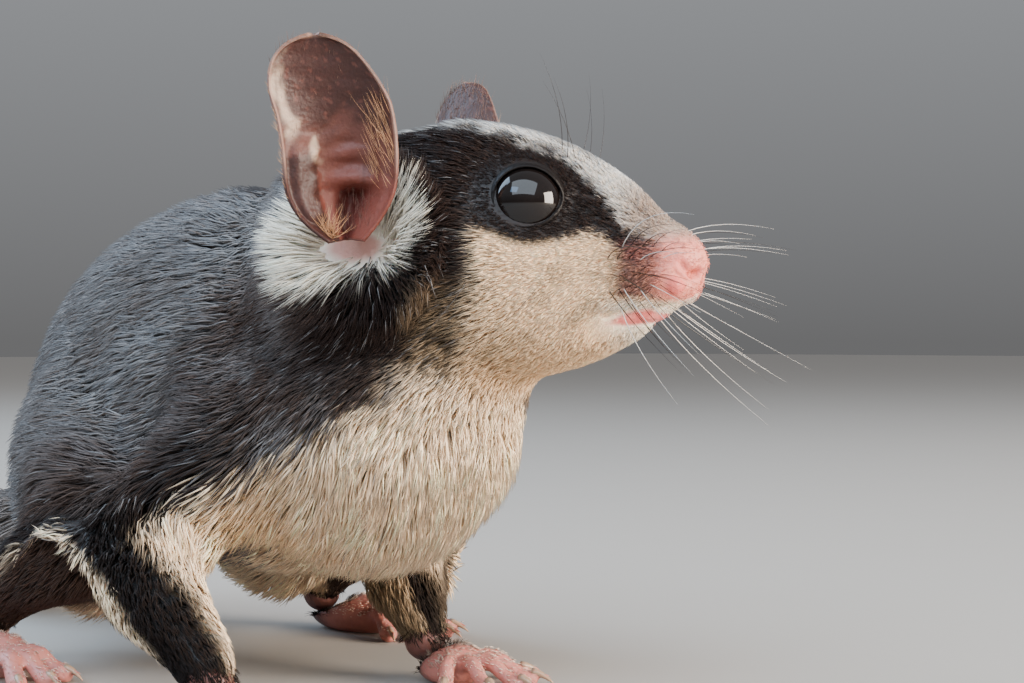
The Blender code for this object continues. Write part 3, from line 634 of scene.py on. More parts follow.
points = places(skin.data)
head = even_side(to_head(points))
carvings = [(line_gap(head, MOUTH), -1.1, 0.42),
            (line_gap(head, moved(MOUTH, 0, 0.1, 1.1)), 0.4, 0.75),
            (line_gap(head, LOWER_LIP), 0.35, 0.55),
            (line_gap(head, NOSTRIL[:2]), -1.5, 0.42),
            (line_gap(head, NOSTRIL[1:]), -0.4, 0.34),
            (line_gap(head, moved(NOSTRIL[1:], 0.2, 0.1, 0.85)), 0.22, 0.7),
            (gap_to(head, NOSE_LOBE), 0.35, 0.9),
            (line_gap(head, NOSE_WING), -0.35, 0.3)]
carve = np.zeros(len(points))
for gap, lift, width in carvings:
    carve += lift * bump(gap, 0, width)
carve -= 0.4 * bump(head[:, 1], 0, 0.3) * step(-head[:, 2], 5.2, 6.2) * step(head[:, 0], 29.5, 30.5)
for x, z in whisker_roots():
    carve += WHISKER_BUMP * bump(np.hypot(head[:, 0] - x, head[:, 2] - z), 0, 0.4)
points = points + normals(skin.data) * (carve * (head[:, 0] > SNOUT_FROM))[:, None]
move_to(skin.data, points)
print("carved", round(float(-carve.min()), 2), "mm deep")

# %% [markdown]
# A baked picture needs a flat map of the skin. It is unwrapped from its own shape, and later every
# tuft takes a small patch of that map at the place of its root.

# %% The skin's unwrap
SKIN_MARGIN, PAW_MARGIN = 0.002, 0.004
unwrap(skin, SKIN_MARGIN)
print("map places", len(skin.data.uv_layers["OFBake"].data))

# %% [markdown]
# ## Hands and feet
# Fingers are two millimetres thick, so they are remeshed three times finer than the body. Each hand and
# foot copies its solid, with a wrist that runs up into the fur of the leg, so that the skin goes on
# under the coat with no seam.

# %% Hands and feet
PAW_VOXEL = 0.27
PAW_LOWEST = 0.02
PAW_ROUNDS = 5
WRISTS = {"hand_right": ((4, -22.3, 4.2), 2.4), "hand_left": ((-4, 9.4, 4.2), 2.3),
          "foot_right": ((-43, -22.6, 4.4), 2.4), "foot_left": ((-43, 22.6, 4.4), 2.4)}
paws = []
for node, (wrist, radius) in WRISTS.items():
    ball = add_shape(bpy.ops.mesh.primitive_uv_sphere_add, "wrist", segments=24, ring_count=16,
                     radius=radius * MM, location=to_row(wrist))
    paw = join(node + "_skin", copy_solid(node), ball)
    paw.data.materials.clear()
    add_modifier(paw, "REMESH", mode="VOXEL", voxel_size=PAW_VOXEL * MM)
    apply_all(paw)
    points = softened(places(paw.data), links(paw.data), PAW_ROUNDS)
    points[:, 2] = np.maximum(points[:, 2], PAW_LOWEST)
    move_to(paw.data, points)
    unwrap(paw, PAW_MARGIN, bpy.ops.mesh.quads_convert_to_tris)
    paws.append(paw)
    print(paw.name, len(paw.data.polygons), "triangles")

# %% [markdown]
# Claws stay separate, as on the real animal. Each is a short round horn, bent down to the floor, at
# the end of its finger or toe.

# %% Claws
HAND_ANGLES = {"right": math.radians(-12), "left": math.radians(14)}
HAND_PALM = (4.1, 3.4, 2.4)
HAND_DIGITS = [(-58, 4.8), (-27, 6.0), (-2, 6.5), (22, 6.1), (52, 5.0)]
HAND_DIGIT_RADIUS = 1.0
FOOT_ANGLE = math.radians(13)
FOOT_HEEL = (-43, 23)
FOOT_SIZE = (7.75, 3.3, 2.6)
FOOT_DIGITS = [(-34, 6.6), (-14, 8.2), (4, 8.6), (24, 7.6), (84, 5.6)]
FOOT_DIGIT_RADIUS = 1.15
CLAW_LENGTH, CLAW_RADIUS = 2.4, 0.46
CLAW_STATIONS, CLAW_SIDES = 7, 8
HAND_REACH, FOOT_REACH = 3.6, FOOT_SIZE[0] - 2
PALM_LOW = 0.8
DIGIT_ROOT = (0.62, 0.72)
FLOOR_GAP = (-1e9, -1e9, 0.2)
claws = []


def add_claws(palm, heading, size, digits, radius, mirror):
    """A claw at the end of each digit, from its spread in degrees and its length."""
    ahead = np.array((math.cos(heading), math.sin(heading), 0))
    across = np.array((-ahead[1], ahead[0], 0))
    shares = np.linspace(0, 1, CLAW_STATIONS)
    for spread, length in digits:
        turn = math.radians(spread) * mirror
        root = np.array(palm) + ahead * size[0] * DIGIT_ROOT[0] * math.cos(turn)
        root = root + across * size[1] * DIGIT_ROOT[1] * math.sin(turn)
        way = np.array((math.cos(heading + turn), math.sin(heading + turn), 0))
        tip = np.array((*(root + way * length)[:2], radius * 0.72))
        path = [tip + way * (radius * 0.2 + CLAW_LENGTH * share) + (0, 0, 0.75 - 1.15 * share**1.8)
                for share in shares]
        radii = CLAW_RADIUS * (1.0 - 0.88 * shares**1.4)
        claw = wrapped_tube("claw", np.maximum(path, FLOOR_GAP), radii, CLAW_SIDES)
        smooth(claw)
        claws.append(claw)


def palm_place(start, heading, reach, size):
    """The middle of a palm or sole, from the wrist or heel."""
    return (start[0] + reach * math.cos(heading), start[1] + reach * math.sin(heading),
            size[2] * PALM_LOW)


for side, mirror in SIDES.items():
    heading = HAND_ANGLES[side]
    palm = palm_place(WRISTS["hand_" + side][0], heading, HAND_REACH, HAND_PALM)
    add_claws(palm, heading, HAND_PALM, HAND_DIGITS, HAND_DIGIT_RADIUS, mirror)
    heading = FOOT_ANGLE * mirror
    palm = palm_place((FOOT_HEEL[0], FOOT_HEEL[1] * mirror), heading, FOOT_REACH, FOOT_SIZE)
    add_claws(palm, heading, FOOT_SIZE, FOOT_DIGITS, FOOT_DIGIT_RADIUS, mirror)
claws = join("claws", *claws)
print("claws", len(claws.data.polygons), "faces")

# %% [markdown]
# ## Eyes
# The eyes are the animal's largest feature: near-black, wet balls in thin dark lids. A ball is a
# finely divided sphere, slightly raised towards the front, where the cornea is. A ring pressed on to
# it makes the lid, drawn out to a corner towards the nose.

# %% Eyeballs and lids
LID_OPENING = (3.46, 3.22)
LID_REACH, LID_RADIUS = 3.98, 0.3
RING_RADIUS = 0.25
CORNEA_RISE = 0.035


def eye_axes(mirror):
    """The eye's own frame in the head: +X along its gaze, +Z up."""
    axis = Vector(EYE_AXIS).normalized()
    axis.y *= mirror
    return np.array(axis.to_track_quat("X", "Z").to_matrix())


eyes, lids = {}, {}
for side, mirror in SIDES.items():
    axes = eye_axes(mirror)
    centre = EYE_CENTRE * (1, mirror, 1)
    eye = add_shape(bpy.ops.mesh.primitive_uv_sphere_add, f"eyeball_{side}", segments=64, ring_count=40,
                    radius=1)
    local = np.array([v.co for v in eye.data.vertices])[:, (2, 0, 1)] * EYE_RADIUS
    local *= (1 + CORNEA_RISE * step(local[:, 0], 1.6, EYE_RADIUS))[:, None]
    move_to(eye.data, from_head(local @ axes.T + centre))
    smooth(eye)
    eyes[side] = eye
    lid = add_shape(bpy.ops.mesh.primitive_torus_add, f"eyelid_{side}", major_segments=96,
                    minor_segments=16, major_radius=1, minor_radius=RING_RADIUS)
    local = np.array([v.co for v in lid.data.vertices])
    turn = np.arctan2(local[:, 1], local[:, 0])
    flat = np.stack([np.cos(turn), np.sin(turn)], axis=1)
    across = (np.linalg.norm(local[:, :2], axis=1) - 1) / RING_RADIUS
    rise = local[:, 2] / RING_RADIUS
    toward_nose = np.maximum(flat[:, 0] * -mirror, 0) ** 6
    long = LID_OPENING[0] + 0.35 * toward_nose
    ring = np.stack([long * flat[:, 0], LID_OPENING[1] * flat[:, 1]], axis=1)
    size = LID_RADIUS * (1 + 0.25 * np.maximum(flat[:, 1], 0) + 0.3 * toward_nose)
    ring = ring + flat * (across * size * 1.15)[:, None]
    depth = np.sqrt(np.maximum(LID_REACH**2 - (ring**2).sum(axis=1), 0.2)) + rise * size * 0.9
    local = np.stack([depth, ring[:, 0], ring[:, 1]], axis=1)
    move_to(lid.data, from_head(local @ axes.T + centre))
    edit_whole(lid, face_outward)
    smooth(lid)
    lids[side] = lid
print("two eyes and their lids")

# %% [markdown]
# ## Ears
# A glider's ear is a thin, bare, cupped leaf of skin. A fine grid takes its outline from the solid
# ear's heights and widths, and then gets the folds that show on a real one: the lobe along its rear
# edge, the cross ridges above the canal, the canal, and a rolled rim.

# %% The leaf of an ear
EAR_BASE = np.array((0.0, 12.8, -2.6))
EAR_TIPS = {"left": (1.0, 5.0, 19.4), "right": (0.5, 3.4, 19.8)}
EAR_FACING = math.radians(27)
EAR_OUTLINE = [(0, 0.4, 1.6), (1.5, 0.2, 3.2), (2.9, 0.1, 4.3), (5, 0.15, 5.3), (8.9, 0.3, 5.45),
               (12.2, 0, 5.5), (13.6, -0.4, 5.5), (15.3, -1.0, 5.2), (17.4, -1.5, 4.3),
               (18.8, -1.6, 3.0), (19.5, -1.6, 1.4), (19.7, -1.6, 0.5)]
EAR_CUP = [(0, 1.6), (3, 3.8), (8, 3.6), (14, 1.9), (19.7, 0.5)]
EAR_TOP = EAR_OUTLINE[-1][0]
EAR_ACROSS, EAR_UP = 72, 110
EAR_THICKNESS = 0.34
CROSS_RIDGES = ((8.3, 0.12, 0.55, 0.65), (5.9, 0.22, 0.95, 0.75), (10.2, 0.05, 0.25, 0.6))
ear_axes = {}


def canal_share(s, height):
    """How much of the dark way into the ear is at a place of the leaf."""
    middle = np.interp(height, (0.4, 5.2), (0.08, 0.32))
    return bump(s, middle, 0.3) * step(height, -0.6, 0.4) * fall(height, 4.0, 5.6)


def leaf_width(height):
    """The middle and the half width of the leaf."""
    middle = flowing([(at, middle) for at, middle, _ in EAR_OUTLINE], height)
    return middle, flowing([(at, half) for at, _, half in EAR_OUTLINE], height)


def ear_place(side, s, height, lift=0.0):
    """Places of the leaf in the head's frame. s goes from -1 at its rear edge to 1 at its front."""
    base, up, facing, forward = ear_axes[side]
    middle, half = leaf_width(height)
    cup = flowing(EAR_CUP, height) * (1 - s * s)
    placed = base + up * height[:, None] + forward * (middle + half * s)[:, None]
    return placed - facing * (cup - lift)[:, None]


def ear_folds(s, height):
    """How far the folds of the leaf stand out of its hollow."""
    scallop = -0.43 + 0.035 * np.sin(height * 2.4) + 0.02 * np.sin(height * 5.1 + 1)
    lobe = fall(s, scallop - 0.06, scallop + 0.03) * step(s, -0.98, -0.7)
    lift = 1.35 * lobe * step(height, 1.0, 3.0) * fall(height, 8.0, 10.5)
    lift += 0.5 * bump(s, 0.78, 0.12) * bump(height, 5.0, 3.0)
    for at, across, high, wide in CROSS_RIDGES:
        lift += high * bump(height + 1.4 * (s - 0.2) ** 2, at, wide) * bump(s, across, 0.42)
    for rung in range(4):
        lift += 0.07 * bump(height + 0.8 * s, 7.0 + rung * 1.0, 0.22) * bump(s, 0.25, 0.3)
    lift -= 1.7 * canal_share(s, height)
    lift += 0.45 * bump(s, -0.2, 0.14) * bump(height, 2.0, 1.8)
    lift += 0.06 * waves(np.stack([s * leaf_width(height)[1], height, s], 1), 2.4, 3)
    rim = step(np.abs(s), 0.95, 1.0) + step(height, 19.2, 19.7)
    return lift + 0.12 * np.minimum(rim, 1)


print("the leaf is", 2 * round(max(half for _, _, half in EAR_OUTLINE), 1), "mm wide")

# %% [markdown]
# Each ear stands on its own base, turned a little outward, and leans its own way. The grid is bent into
# the leaf and then gets a thickness, so that it is a solid sheet and not a paper-thin one.

# %% Ears
ears = {}
for side, mirror in SIDES.items():
    up = unit(np.array(EAR_TIPS[side]) * (1, mirror, 1))
    facing = np.array((math.sin(EAR_FACING), mirror * math.cos(EAR_FACING), 0))
    facing = unit(facing - up * facing.dot(up))
    forward = unit(np.cross(up, facing)) * -mirror
    ear_axes[side] = (EAR_BASE * (1, mirror, 1), up, facing, forward)
    ear = add_shape(bpy.ops.mesh.primitive_grid_add, f"ear_{side}_leaf", x_subdivisions=EAR_ACROSS,
                    y_subdivisions=EAR_UP, size=2)
    local = np.array([v.co for v in ear.data.vertices])
    s = np.sin(local[:, 0] * math.pi / 2)
    height = EAR_TOP * (1 - (1 - (local[:, 1] + 1) / 2) ** 1.15)
    move_to(ear.data, from_head(ear_place(side, s, height, ear_folds(s, height))))
    measured = ear.data.attributes.new("leaf", "FLOAT_VECTOR", "POINT")
    measured.data.foreach_set("vector", np.stack([s, height, np.zeros_like(s)], axis=1).ravel())
    smooth(ear)
    add_modifier(ear, "SOLIDIFY", thickness=EAR_THICKNESS * MM, offset=0, use_even_offset=False)
    apply_all(ear)
    edit_whole(ear, face_outward)
    ears[side] = ear
    print(ear.name, len(ear.data.polygons), "faces")

# %% [markdown]
# ## The markings
# A glider's colours follow its anatomy: a dark stripe from the snout through the eye to the ear and
# down behind the cheek, a pale brow, cream cheeks and throat, a white ruff at each ear, a dark stripe
# along the spine, a grey back, dark forelegs, a cream belly. Each is a smooth mask over named lines,
# so skin and tufts can be painted alike.

# %% Colours
def colour(red, green, blue):
    """A colour by its screen values, as the shader's linear ones."""
    values = np.array((red, green, blue)) / 255
    return np.where(values <= 0.04045, values / 12.92, ((values + 0.055) / 1.055) ** 2.4)


BACK_GREY = colour(130, 127, 126)
BACK_BROWN = colour(96, 84, 77)
SHOULDER_BROWN = colour(66, 48, 39)
STRIPE_BROWN = colour(38, 25, 20)
BROW_PALE = colour(218, 207, 194)
SNOUT_BROWN = colour(158, 128, 108)
CHEEK_CREAM = colour(246, 210, 169)
CHEEK_BUFF = colour(232, 196, 154)
JAW_WHITE = colour(248, 236, 218)
RUFF_WHITE = colour(244, 233, 214)
CHEST_CREAM = colour(247, 218, 183)
LEG_DARK = colour(27, 19, 16)
NOSE_PINK = colour(224, 136, 118)
# Painted shade inside the nostrils.
NOSTRIL_SHADE = STRIPE_BROWN * (1.2, 0.5, 0.45)
BARE_PINK = colour(214, 158, 142)
LIP_PINK = colour(206, 88, 84)
PAD_PINK = colour(134, 80, 72)
TAIL_GREY = colour(120, 112, 107)
TAIL_DARK = colour(34, 29, 28)
PAW_PINK = colour(180, 112, 100)
DOWN_PALE = colour(214, 190, 172)
WHISKER_PALE = colour(206, 200, 192)
EAR_MID = colour(95, 55, 46)
EAR_DARK = colour(53, 30, 26)
EAR_PINK = colour(124, 66, 55)
EAR_PALE = colour(172, 146, 126)
EAR_CANAL = colour(92, 42, 36)
EAR_RIM = colour(150, 118, 104)
EAR_DOWN = colour(206, 158, 118)
EAR_BROWN_HAIR = colour(120, 92, 80)


def plain(tint, count):
    """One colour for a number of points."""
    return np.tile(tint, (count, 1))


def layered(tint, layers):
    """A tint with layers of (colour, share) laid over it, one after the other."""
    for over, share in layers:
        tint = blend(tint, over, share)
    return tint


print("cheek cream, as a shader reads it", CHEEK_CREAM.round(3))

# %% [markdown]
# Nose, lips and a patch under each ear are bare. Their colours are laid over all the others of the head, as
# a painter would: the pink of the nose first, then painted shade in the nostril, the lips, and painted
# shade along the mouth's line.

# %% Bare skin of the head
def lip_share(head):
    """The bare pink lip below the mouth, widest in its middle."""
    size = np.interp(head[:, 0], (23.2, 25.2, 27.4, 28.7), (0.2, 0.95, 1.1, 0.4))
    return fall(line_gap(head, LOWER_LIP), size - 0.35, size + 0.3)


def below_ear(head):
    """The patch of bare skin under the opening of each ear."""
    gap = np.hypot((head[:, 0] + 1.0) / 3.0, (head[:, 2] - EAR_FOOT[2] + 0.3) / 1.5)
    return fall(gap, 0.7, 1.2) * step(np.abs(head[:, 1]), 5, 6.5)


def bare_layers(head, rough):
    x, _, z = head.T
    lobe = fall(gap_to(head, NOSE_LOBE), 0.7, 1.5)
    wet = np.maximum(0.6 * fall(line_gap(head, NOSTRIL), 0.5, 1.2), lobe)
    upper = fall(line_gap(head, moved(MOUTH, 0, 0.1, 0.75)), 0.35, 0.7) * step(x, 24, 26)
    return [(NOSE_PINK, step(x, 27.3, 29.8) * step(-z, 1.2, 3.2) * fall(-z, 7.9, 8.5)),
            (LIP_PINK, wet * 0.7),
            # Painted shade in the opening of the nostril.
            (NOSTRIL_SHADE, fall(line_gap(head, NOSTRIL[:2]), 0.28, 0.5)),
            (JAW_WHITE, upper * 0.8),
            (LIP_PINK, lip_share(head) * (0.9 + 0.1 * rough)),
            # Painted shade along the line of the mouth, where the lips meet.
            (LIP_PINK * 0.25, fall(line_gap(head, MOUTH), 0.14, 0.34)),
            (BARE_PINK, below_ear(head))]


print("under the ear the skin is bare by", round(float(below_ear(np.array([(-1, 12, -2.9)]))[0]), 2))

# %% [markdown]
# The head's markings: brow, cheek, eye stripe, snout, whisker pads, jaw and ruff. Two lists of heights
# give the stripe's edges, another the back of the cheek, and a little noise keeps every edge from
# looking cut.

# %% Markings of the head
STRIPE_TOP = [(-14, 5.5), (-4, 7.6), (3, 8.2), (6, 8.3), (9, 8.2), (11, 7.9), (14, 7.1), (17, 6.2),
              (19.5, 5.1), (21.5, 3.4), (23.2, 1.2), (25, -0.9), (27, -2.2), (28.5, -3.4)]
STRIPE_FOOT = [(9, -1.2), (12.6, -1.6), (15.2, -2.1), (17.8, -2.5), (20.2, -2.0), (22.7, -1.9),
               (24.9, -3.4), (27, -5.0), (28.5, -6.0)]
CHEEK_BACK = [(-14, 9.5), (-11, 11.0), (-8, 11.9), (-4, 11.9), (0, 11.3), (4, 11.5)]
RUFF_ANGLES = [-180, -150, -120, -90, -50, -20, 10, 50, 80, 120, 180]
RUFF_WIDTHS = [10.5, 8.8, 5.6, 3.8, 4.4, 5.8, 7.4, 8.2, 6.0, 8.5, 10.5]
RUFF_NOTCH = [(-2.4, 11.5, -5.6), (-2.2, 12.5, -9.5)]
EYE_CORNER = [(19.6, 6.6, 0.6), (22.6, 5.4, 0.4)]


def ruff_share(head, rough):
    """The white ruff, whose width changes with the angle round the foot of the ear."""
    away = head - EAR_FOOT
    wide = np.interp(np.degrees(np.arctan2(away[:, 2], away[:, 0])), RUFF_ANGLES, RUFF_WIDTHS)
    ruff = fall(gap_to(head, EAR_FOOT) + rough, wide - 0.9, wide + 0.7)
    return ruff * (1 - 0.8 * near_line(head, RUFF_NOTCH, 0.75, 0.4)) * step(head[:, 0], -13, -11.5)


def head_colours(points, tint):
    """Paints the head's markings over a tint."""
    head = even_side(to_head(points))
    x, y, z = head.T
    rough = waves(points, 3.1, 5) * 0.45 + waves(points, 1.3, 6) * 0.25
    top = z - curve(STRIPE_TOP, x) + rough * 0.8
    under = z - curve(STRIPE_FOOT, x) + rough * 0.7
    above, below = step(under, -0.8, 0.7), fall(under, -0.8, 0.7)
    brow = step(top, -0.5, 0.9)
    face = step(x + rough - curve(CHEEK_BACK, z), -0.6, 1.3)
    cheek = face * below
    buff = step(-z, 5, 11) * step(-x, -21, -15)
    streaks = step(waves(points * (0.6, 0.6, 1), 2.4, 51), 0.3, 0.9) * step(-z, 1, 6)
    stripe = np.maximum(face * above, 1 - face) * (1 - brow) * step(x, -7, -1) * step(z, -17, -13)
    low = step(-z, 5, 10) * step(x, 5, 8) * below
    strands = 0.55 + 0.3 * waves(points * (1, 1, 0.4), 2.4, 23)
    spine = fall(y, 0.7, 1.8) * fall(x, 20.5, 23.5)
    pad = step(x, 23.6, 25.8) * step(-z, 2.0, 3.6) * fall(-z, 7.4, 8.6)
    return layered(tint, [
        (BROW_PALE, brow * step(x, -8, 2)),
        (CHEEK_CREAM, cheek),
        (CHEEK_BUFF, cheek * buff * 0.75),
        (CHEEK_BUFF * 0.5, cheek * streaks * 0.4),
        (STRIPE_BROWN, stripe * (1 - step(x, 24.5, 28.5) * 0.75)),
        (CHEEK_BUFF * 0.42, stripe * low * strands),
        (STRIPE_BROWN * 0.7, bump(x, 2.5, 3.6) * bump(z, -9.5, 2.8) * step(y, 6, 9)),
        (SNOUT_BROWN, step(x, 23.5, 26.5) * step(top, -1.0, 1.2) * 0.8),
        (STRIPE_BROWN, spine * step(z, 2, 5) * (0.55 + 0.4 * fall(x, 6, 14))),
        (PAD_PINK * (1 - 0.35 * step(-x, -27.0, -24.5))[:, None], pad * 0.9),
        (JAW_WHITE, step(x, 22, 26) * step(-z, 7.8, 9.2) * 0.85),
        (STRIPE_BROWN * 0.6, near_line(head, EYE_CORNER, 1.0, 0.6)),
        (STRIPE_BROWN * 0.7, fall(gap_to(head, EYE_CENTRE), 4.7, 6.0) * (1 - brow * 0.5)),
        (RUFF_WHITE, ruff_share(head, rough)),
        *bare_layers(head, rough)])


print("a place on the cheek is", head_colours(from_head([(15, 8, -6)]), BACK_GREY[None]).round(2)[0])

# %% [markdown]
# The body's markings follow its own lines: a dark spine, brown shoulders and flanks, dark arms with one
# pale edge, a cream chest and belly with darker waves of painted shade in its folds, creases darkened with
# painted shade, and the membrane's dark web with its pale fringe. They also need the outward directions,
# since a hind leg is pale on its inner side, and a foreleg's inner side is painted dark as painted shade
# between the legs.

# %% Markings of the body
CHEST_EDGE = [(10, -60), (12.5, -34), (15, -16), (17, -9.8), (19.5, -8.0), (22.2, -4.8),
              (23.3, -2.0), (24.5, 1.8), (27, 6.4), (29, 7.6), (30, 10), (31, 13.2), (35, 12.7),
              (38, 16), (42, 20)]
EDGE_RIGHT = [(2.5, -26.2, 4.2), (-4, -26.6, 8.4), (-8.6, -26.9, 12), (-13.5, -27.2, 14.4),
              (-19, -27.2, 16.8), (-29, -27, 14), (-38, -26.2, 8.5)]
EDGE_LEFT = [(-6, 13.6, 6.5), (-9, 17, 9.2), (-12, 21.4, 12), (-15, 24.6, 14.4),
             (-19.5, 26.4, 16.8), (-29, 27, 14), (-38, 26.2, 8.5)]
PALE_FACING = {"foreleg_right": 42, "foreleg_left": -50}
PALE_SPREAD = 27
SHOULDER_LINE = [(10, 13, 36), (-3, 15, 36), (-9, 18, 26)]
FLANK_LINE = [(-6, 19, 20), (-19, 20, 22), (-38, 20, 18)]
ARM_ROOT = [(-1, 19.5, 27), (-6, 21.5, 22.5), (-10, 25, 17)]


def leg_share(points, name, extra=0.0):
    return near_line(points, LEGS[name][1:], LEG_RADII[name] + 0.6 + extra, 1.2)


def leg_layers(points, out):
    layers = []
    for name in LEGS:
        side = -1 if name.endswith("right") else 1
        fore = name.startswith("fore")
        share = leg_share(points, name) * fall(points[:, 2], 17, 23)
        inner = step(-out[:, 1] * side, 0.35, 0.75)
        # The forelegs' inner sides get a dark buff, painted shade between the legs; the hind legs keep a
        # paler buff there.
        layers += [(LEG_DARK if fore else SHOULDER_BROWN, share * (1 - inner)),
                   (CHEEK_BUFF * (0.3 if fore else 0.8), share * inner)]
        if fore:
            facing = np.degrees(np.arctan2(-out[:, 1] * side, out[:, 0]))
            layers.append((CHEST_CREAM * 0.9, share * bump(facing, PALE_FACING[name], PALE_SPREAD)))
    return layers


def edge_layers(points, out):
    """Painted shade in the creases, and the membranes' dark webs with their pale fringes."""
    # Painted shade: the neck and shoulder creases are darkened along their lines.
    layers = [(STRIPE_BROWN * 0.5, near_line(points, line, 1.7, 1.8) * 0.9)
              for line in (NECK_CREASE, SHOULDER_CREASE)]
    for line in (EDGE_RIGHT, EDGE_LEFT):
        layers += [(LEG_DARK, near_line(points, line, 5.5, 2.0) * (out[:, 2] > -0.2) * 0.9),
                   (CHEST_CREAM, near_line(points, line, 1.0, 0.5) * step(points[:, 0], -34, -27))]
    return layers


def body_colours(points, out):
    """The colours of trunk, legs, membranes and tail."""
    x, y, z = points.T
    even = even_side(points)
    rough = waves(points, 9, 1)
    mottle = waves(points, 4.6, 2) * 0.6 + waves(points, 2.0, 3) * 0.4
    spine = fall(np.abs(y) + 0.3 * rough, 1.8, 3.6) * step(z, 36, 40) * step(x, -58, -50)
    cream = step(x - curve(CHEST_EDGE, z) + rough * 0.9 + mottle * 0.7, -0.9, 1.6)
    cream = np.maximum(cream, fall(z + rough, 11.5, 15) * step(x, -60, -50))
    cream = cream * fall(np.abs(y), 21, 24) * fall(z, 42, 46)
    tint = layered(plain(BACK_GREY, len(points)), [
        (BACK_BROWN, np.clip(0.4 + 0.6 * mottle, 0, 1)),
        (SHOULDER_BROWN, near_line(even, SHOULDER_LINE, 8.5, 4) * (0.75 + 0.2 * mottle)),
        (SHOULDER_BROWN, near_line(even, FLANK_LINE, 7, 4) * 0.7),
        (STRIPE_BROWN, spine * 0.9),
        (LEG_DARK, near_line(even, ARM_ROOT, 4.5, 3) * 0.85),
        (CHEST_CREAM, cream),
        # Painted shade: darker buff waves across the cream chest, in the folds of its fur.
        (CHEEK_BUFF * 0.8, cream * np.clip(waves(points * (1, 1, 2.2), 13, 11), 0, 1) * 0.4),
        *leg_layers(points, out),
        (CHEST_CREAM, cream * step(z, 11, 14.5) * step(x, -12, -9.5)),
        *edge_layers(points, out)])
    dark_end = step(-x, 135, 185)
    tail_tint = layered(plain(TAIL_GREY, len(points)), [
        (TAIL_DARK, dark_end), (BACK_BROWN, np.clip(0.4 + 0.4 * mottle, 0, 1) * (1 - dark_end))])
    return blend(tint, tail_tint, step(-x, 60, 68))


def markings(points, out):
    """The coat's colour at each place of the animal."""
    tint = body_colours(points, out)
    share = regions(points)["head"] * step(points[:, 2], 30, 33)
    rows = np.nonzero(share > 0)[0]
    tint[rows] = blend(tint[rows], head_colours(points[rows], tint[rows]), share[rows])
    return tint


UPWARD = np.array([(0.0, 0.0, 1.0)])
print("a place on the back is", markings(np.array([(-25.0, 8.0, 50.0)]), UPWARD).round(2)[0])

# %% [markdown]
# ## How the coat lies
# Fur runs back from the nose over the head, out from the foot of each ear, down the throat, back and
# down over the trunk, down the legs and along the tail. The directions are laid out by region,
# flattened on to the skin, and evened out over it so that they turn gradually.

# %% The lie of the coat
LIE_ROUNDS, LIE_STATIONS = 12, 24


def toward(points, line):
    """The direction of the nearest stretch of a line."""
    line = fine_path(line, LIE_STATIONS)
    ways = unit(np.gradient(line, axis=0))
    gaps = ((points[:, None, :] - line[None, :, :]) ** 2).sum(axis=2)
    return ways[gaps.argmin(axis=1)]


def laid_flat(way, out):
    """Directions turned to run along the surface whose outward directions are given."""
    return unit(way - out * (way * out).sum(axis=1, keepdims=True))


def lie(points, out):
    """Which way the fur runs at each place."""
    area = regions(points)
    x, _, z = points.T
    way = np.tile((-1.0, 0.0, -0.35), (len(points), 1))
    way = blend(way, (-0.35, 0, -1.0), step(x, -4, 9) * fall(z, 44, 50))
    head = to_head(points)
    from_nose = unit(head - (33.0, 0, -3.5)) + (0, 0, -0.18)
    from_nose = from_nose @ HEAD_AXES.T
    way = blend(way, 0, area["head"]) + from_nose * area["head"][:, None]
    for mirror in SIDES.values():
        foot = EAR_FOOT * (1, mirror, 1)
        away = head - foot
        near = fall(gap_to(head, foot), 7, 11) * area["head"]
        radial = unit(away * (1, 0.2, 1)) @ HEAD_AXES.T
        way = blend(way, 0, near) + radial * near[:, None]
    limbs = [(leg_share(points, name, 1.0) * fall(z, 20, 26), line[1:])
             for name, line in LEGS.items()]
    for share, line in [*limbs, (area["tail"], TAIL_PATH)]:
        rows = np.nonzero(share > 0)[0]
        way[rows] = blend(way[rows], toward(points[rows], line), share[rows])
    return laid_flat(way, out)


skin_points = places(skin.data)
skin_out = unit(normals(skin.data))
skin_edges = links(skin.data)
skin_lie = unit(softened(lie(skin_points, skin_out), skin_edges, LIE_ROUNDS))
print("the lie is set at", len(skin_lie), "points")

# %% [markdown]
# ## Tufts
# Particle hair is lost in an export, so each tuft is a small solid: a three-sided blade that rises
# from the skin, bends over along the lie and tapers to a point. Neighbours lean together, as real
# hairs clump. Thousands of tufts are written into one mesh at a time, from arrays.

# %% Tuft meshes
TUFT_FACES = np.array([(0, 1, 4), (0, 4, 3), (1, 2, 5), (1, 5, 4), (2, 0, 3), (2, 3, 5),
                       (3, 4, 6), (4, 5, 6), (5, 3, 6), (0, 2, 1)])
TUFT_CORNERS = 7
PATCH_SIZE = 0.0015
TUFT_PATCH = PATCH_SIZE * np.array([(-1, -1), (1, -1), (0, -0.5), (-0.8, 0.1), (0.8, 0.1), (0, 0.4),
                                    (0, 1)])
TUFT_LIMIT = 19000
TUFT_FLOOR = (-1e9, -1e9, 0.15)
CELL_KEYS = (73856093, 19349663, 83492791)
coats = []


def paint(mesh, tint):
    """Colours at a mesh's points, which its material reads."""
    layer = mesh.attributes.new("tint", "FLOAT_COLOR", "POINT")
    rows = np.concatenate([np.clip(tint, 0, 1), np.ones((len(tint), 1))], axis=1)
    layer.data.foreach_set("color", rows.ravel())


def keep_hairs(mesh, uv, tint, count):
    """Maps and paints a mesh of hairs, and keeps it as a piece of the coat."""
    layer = mesh.uv_layers.new(name="OFBake")
    layer.data.foreach_set("uv", np.clip(uv, 0.001, 0.999).ravel())
    paint(mesh, tint)
    obj = bpy.data.objects.new(mesh.name, mesh)
    bpy.context.scene.collection.objects.link(obj)
    coats.append(obj)
    print(mesh.name, count, "hairs")


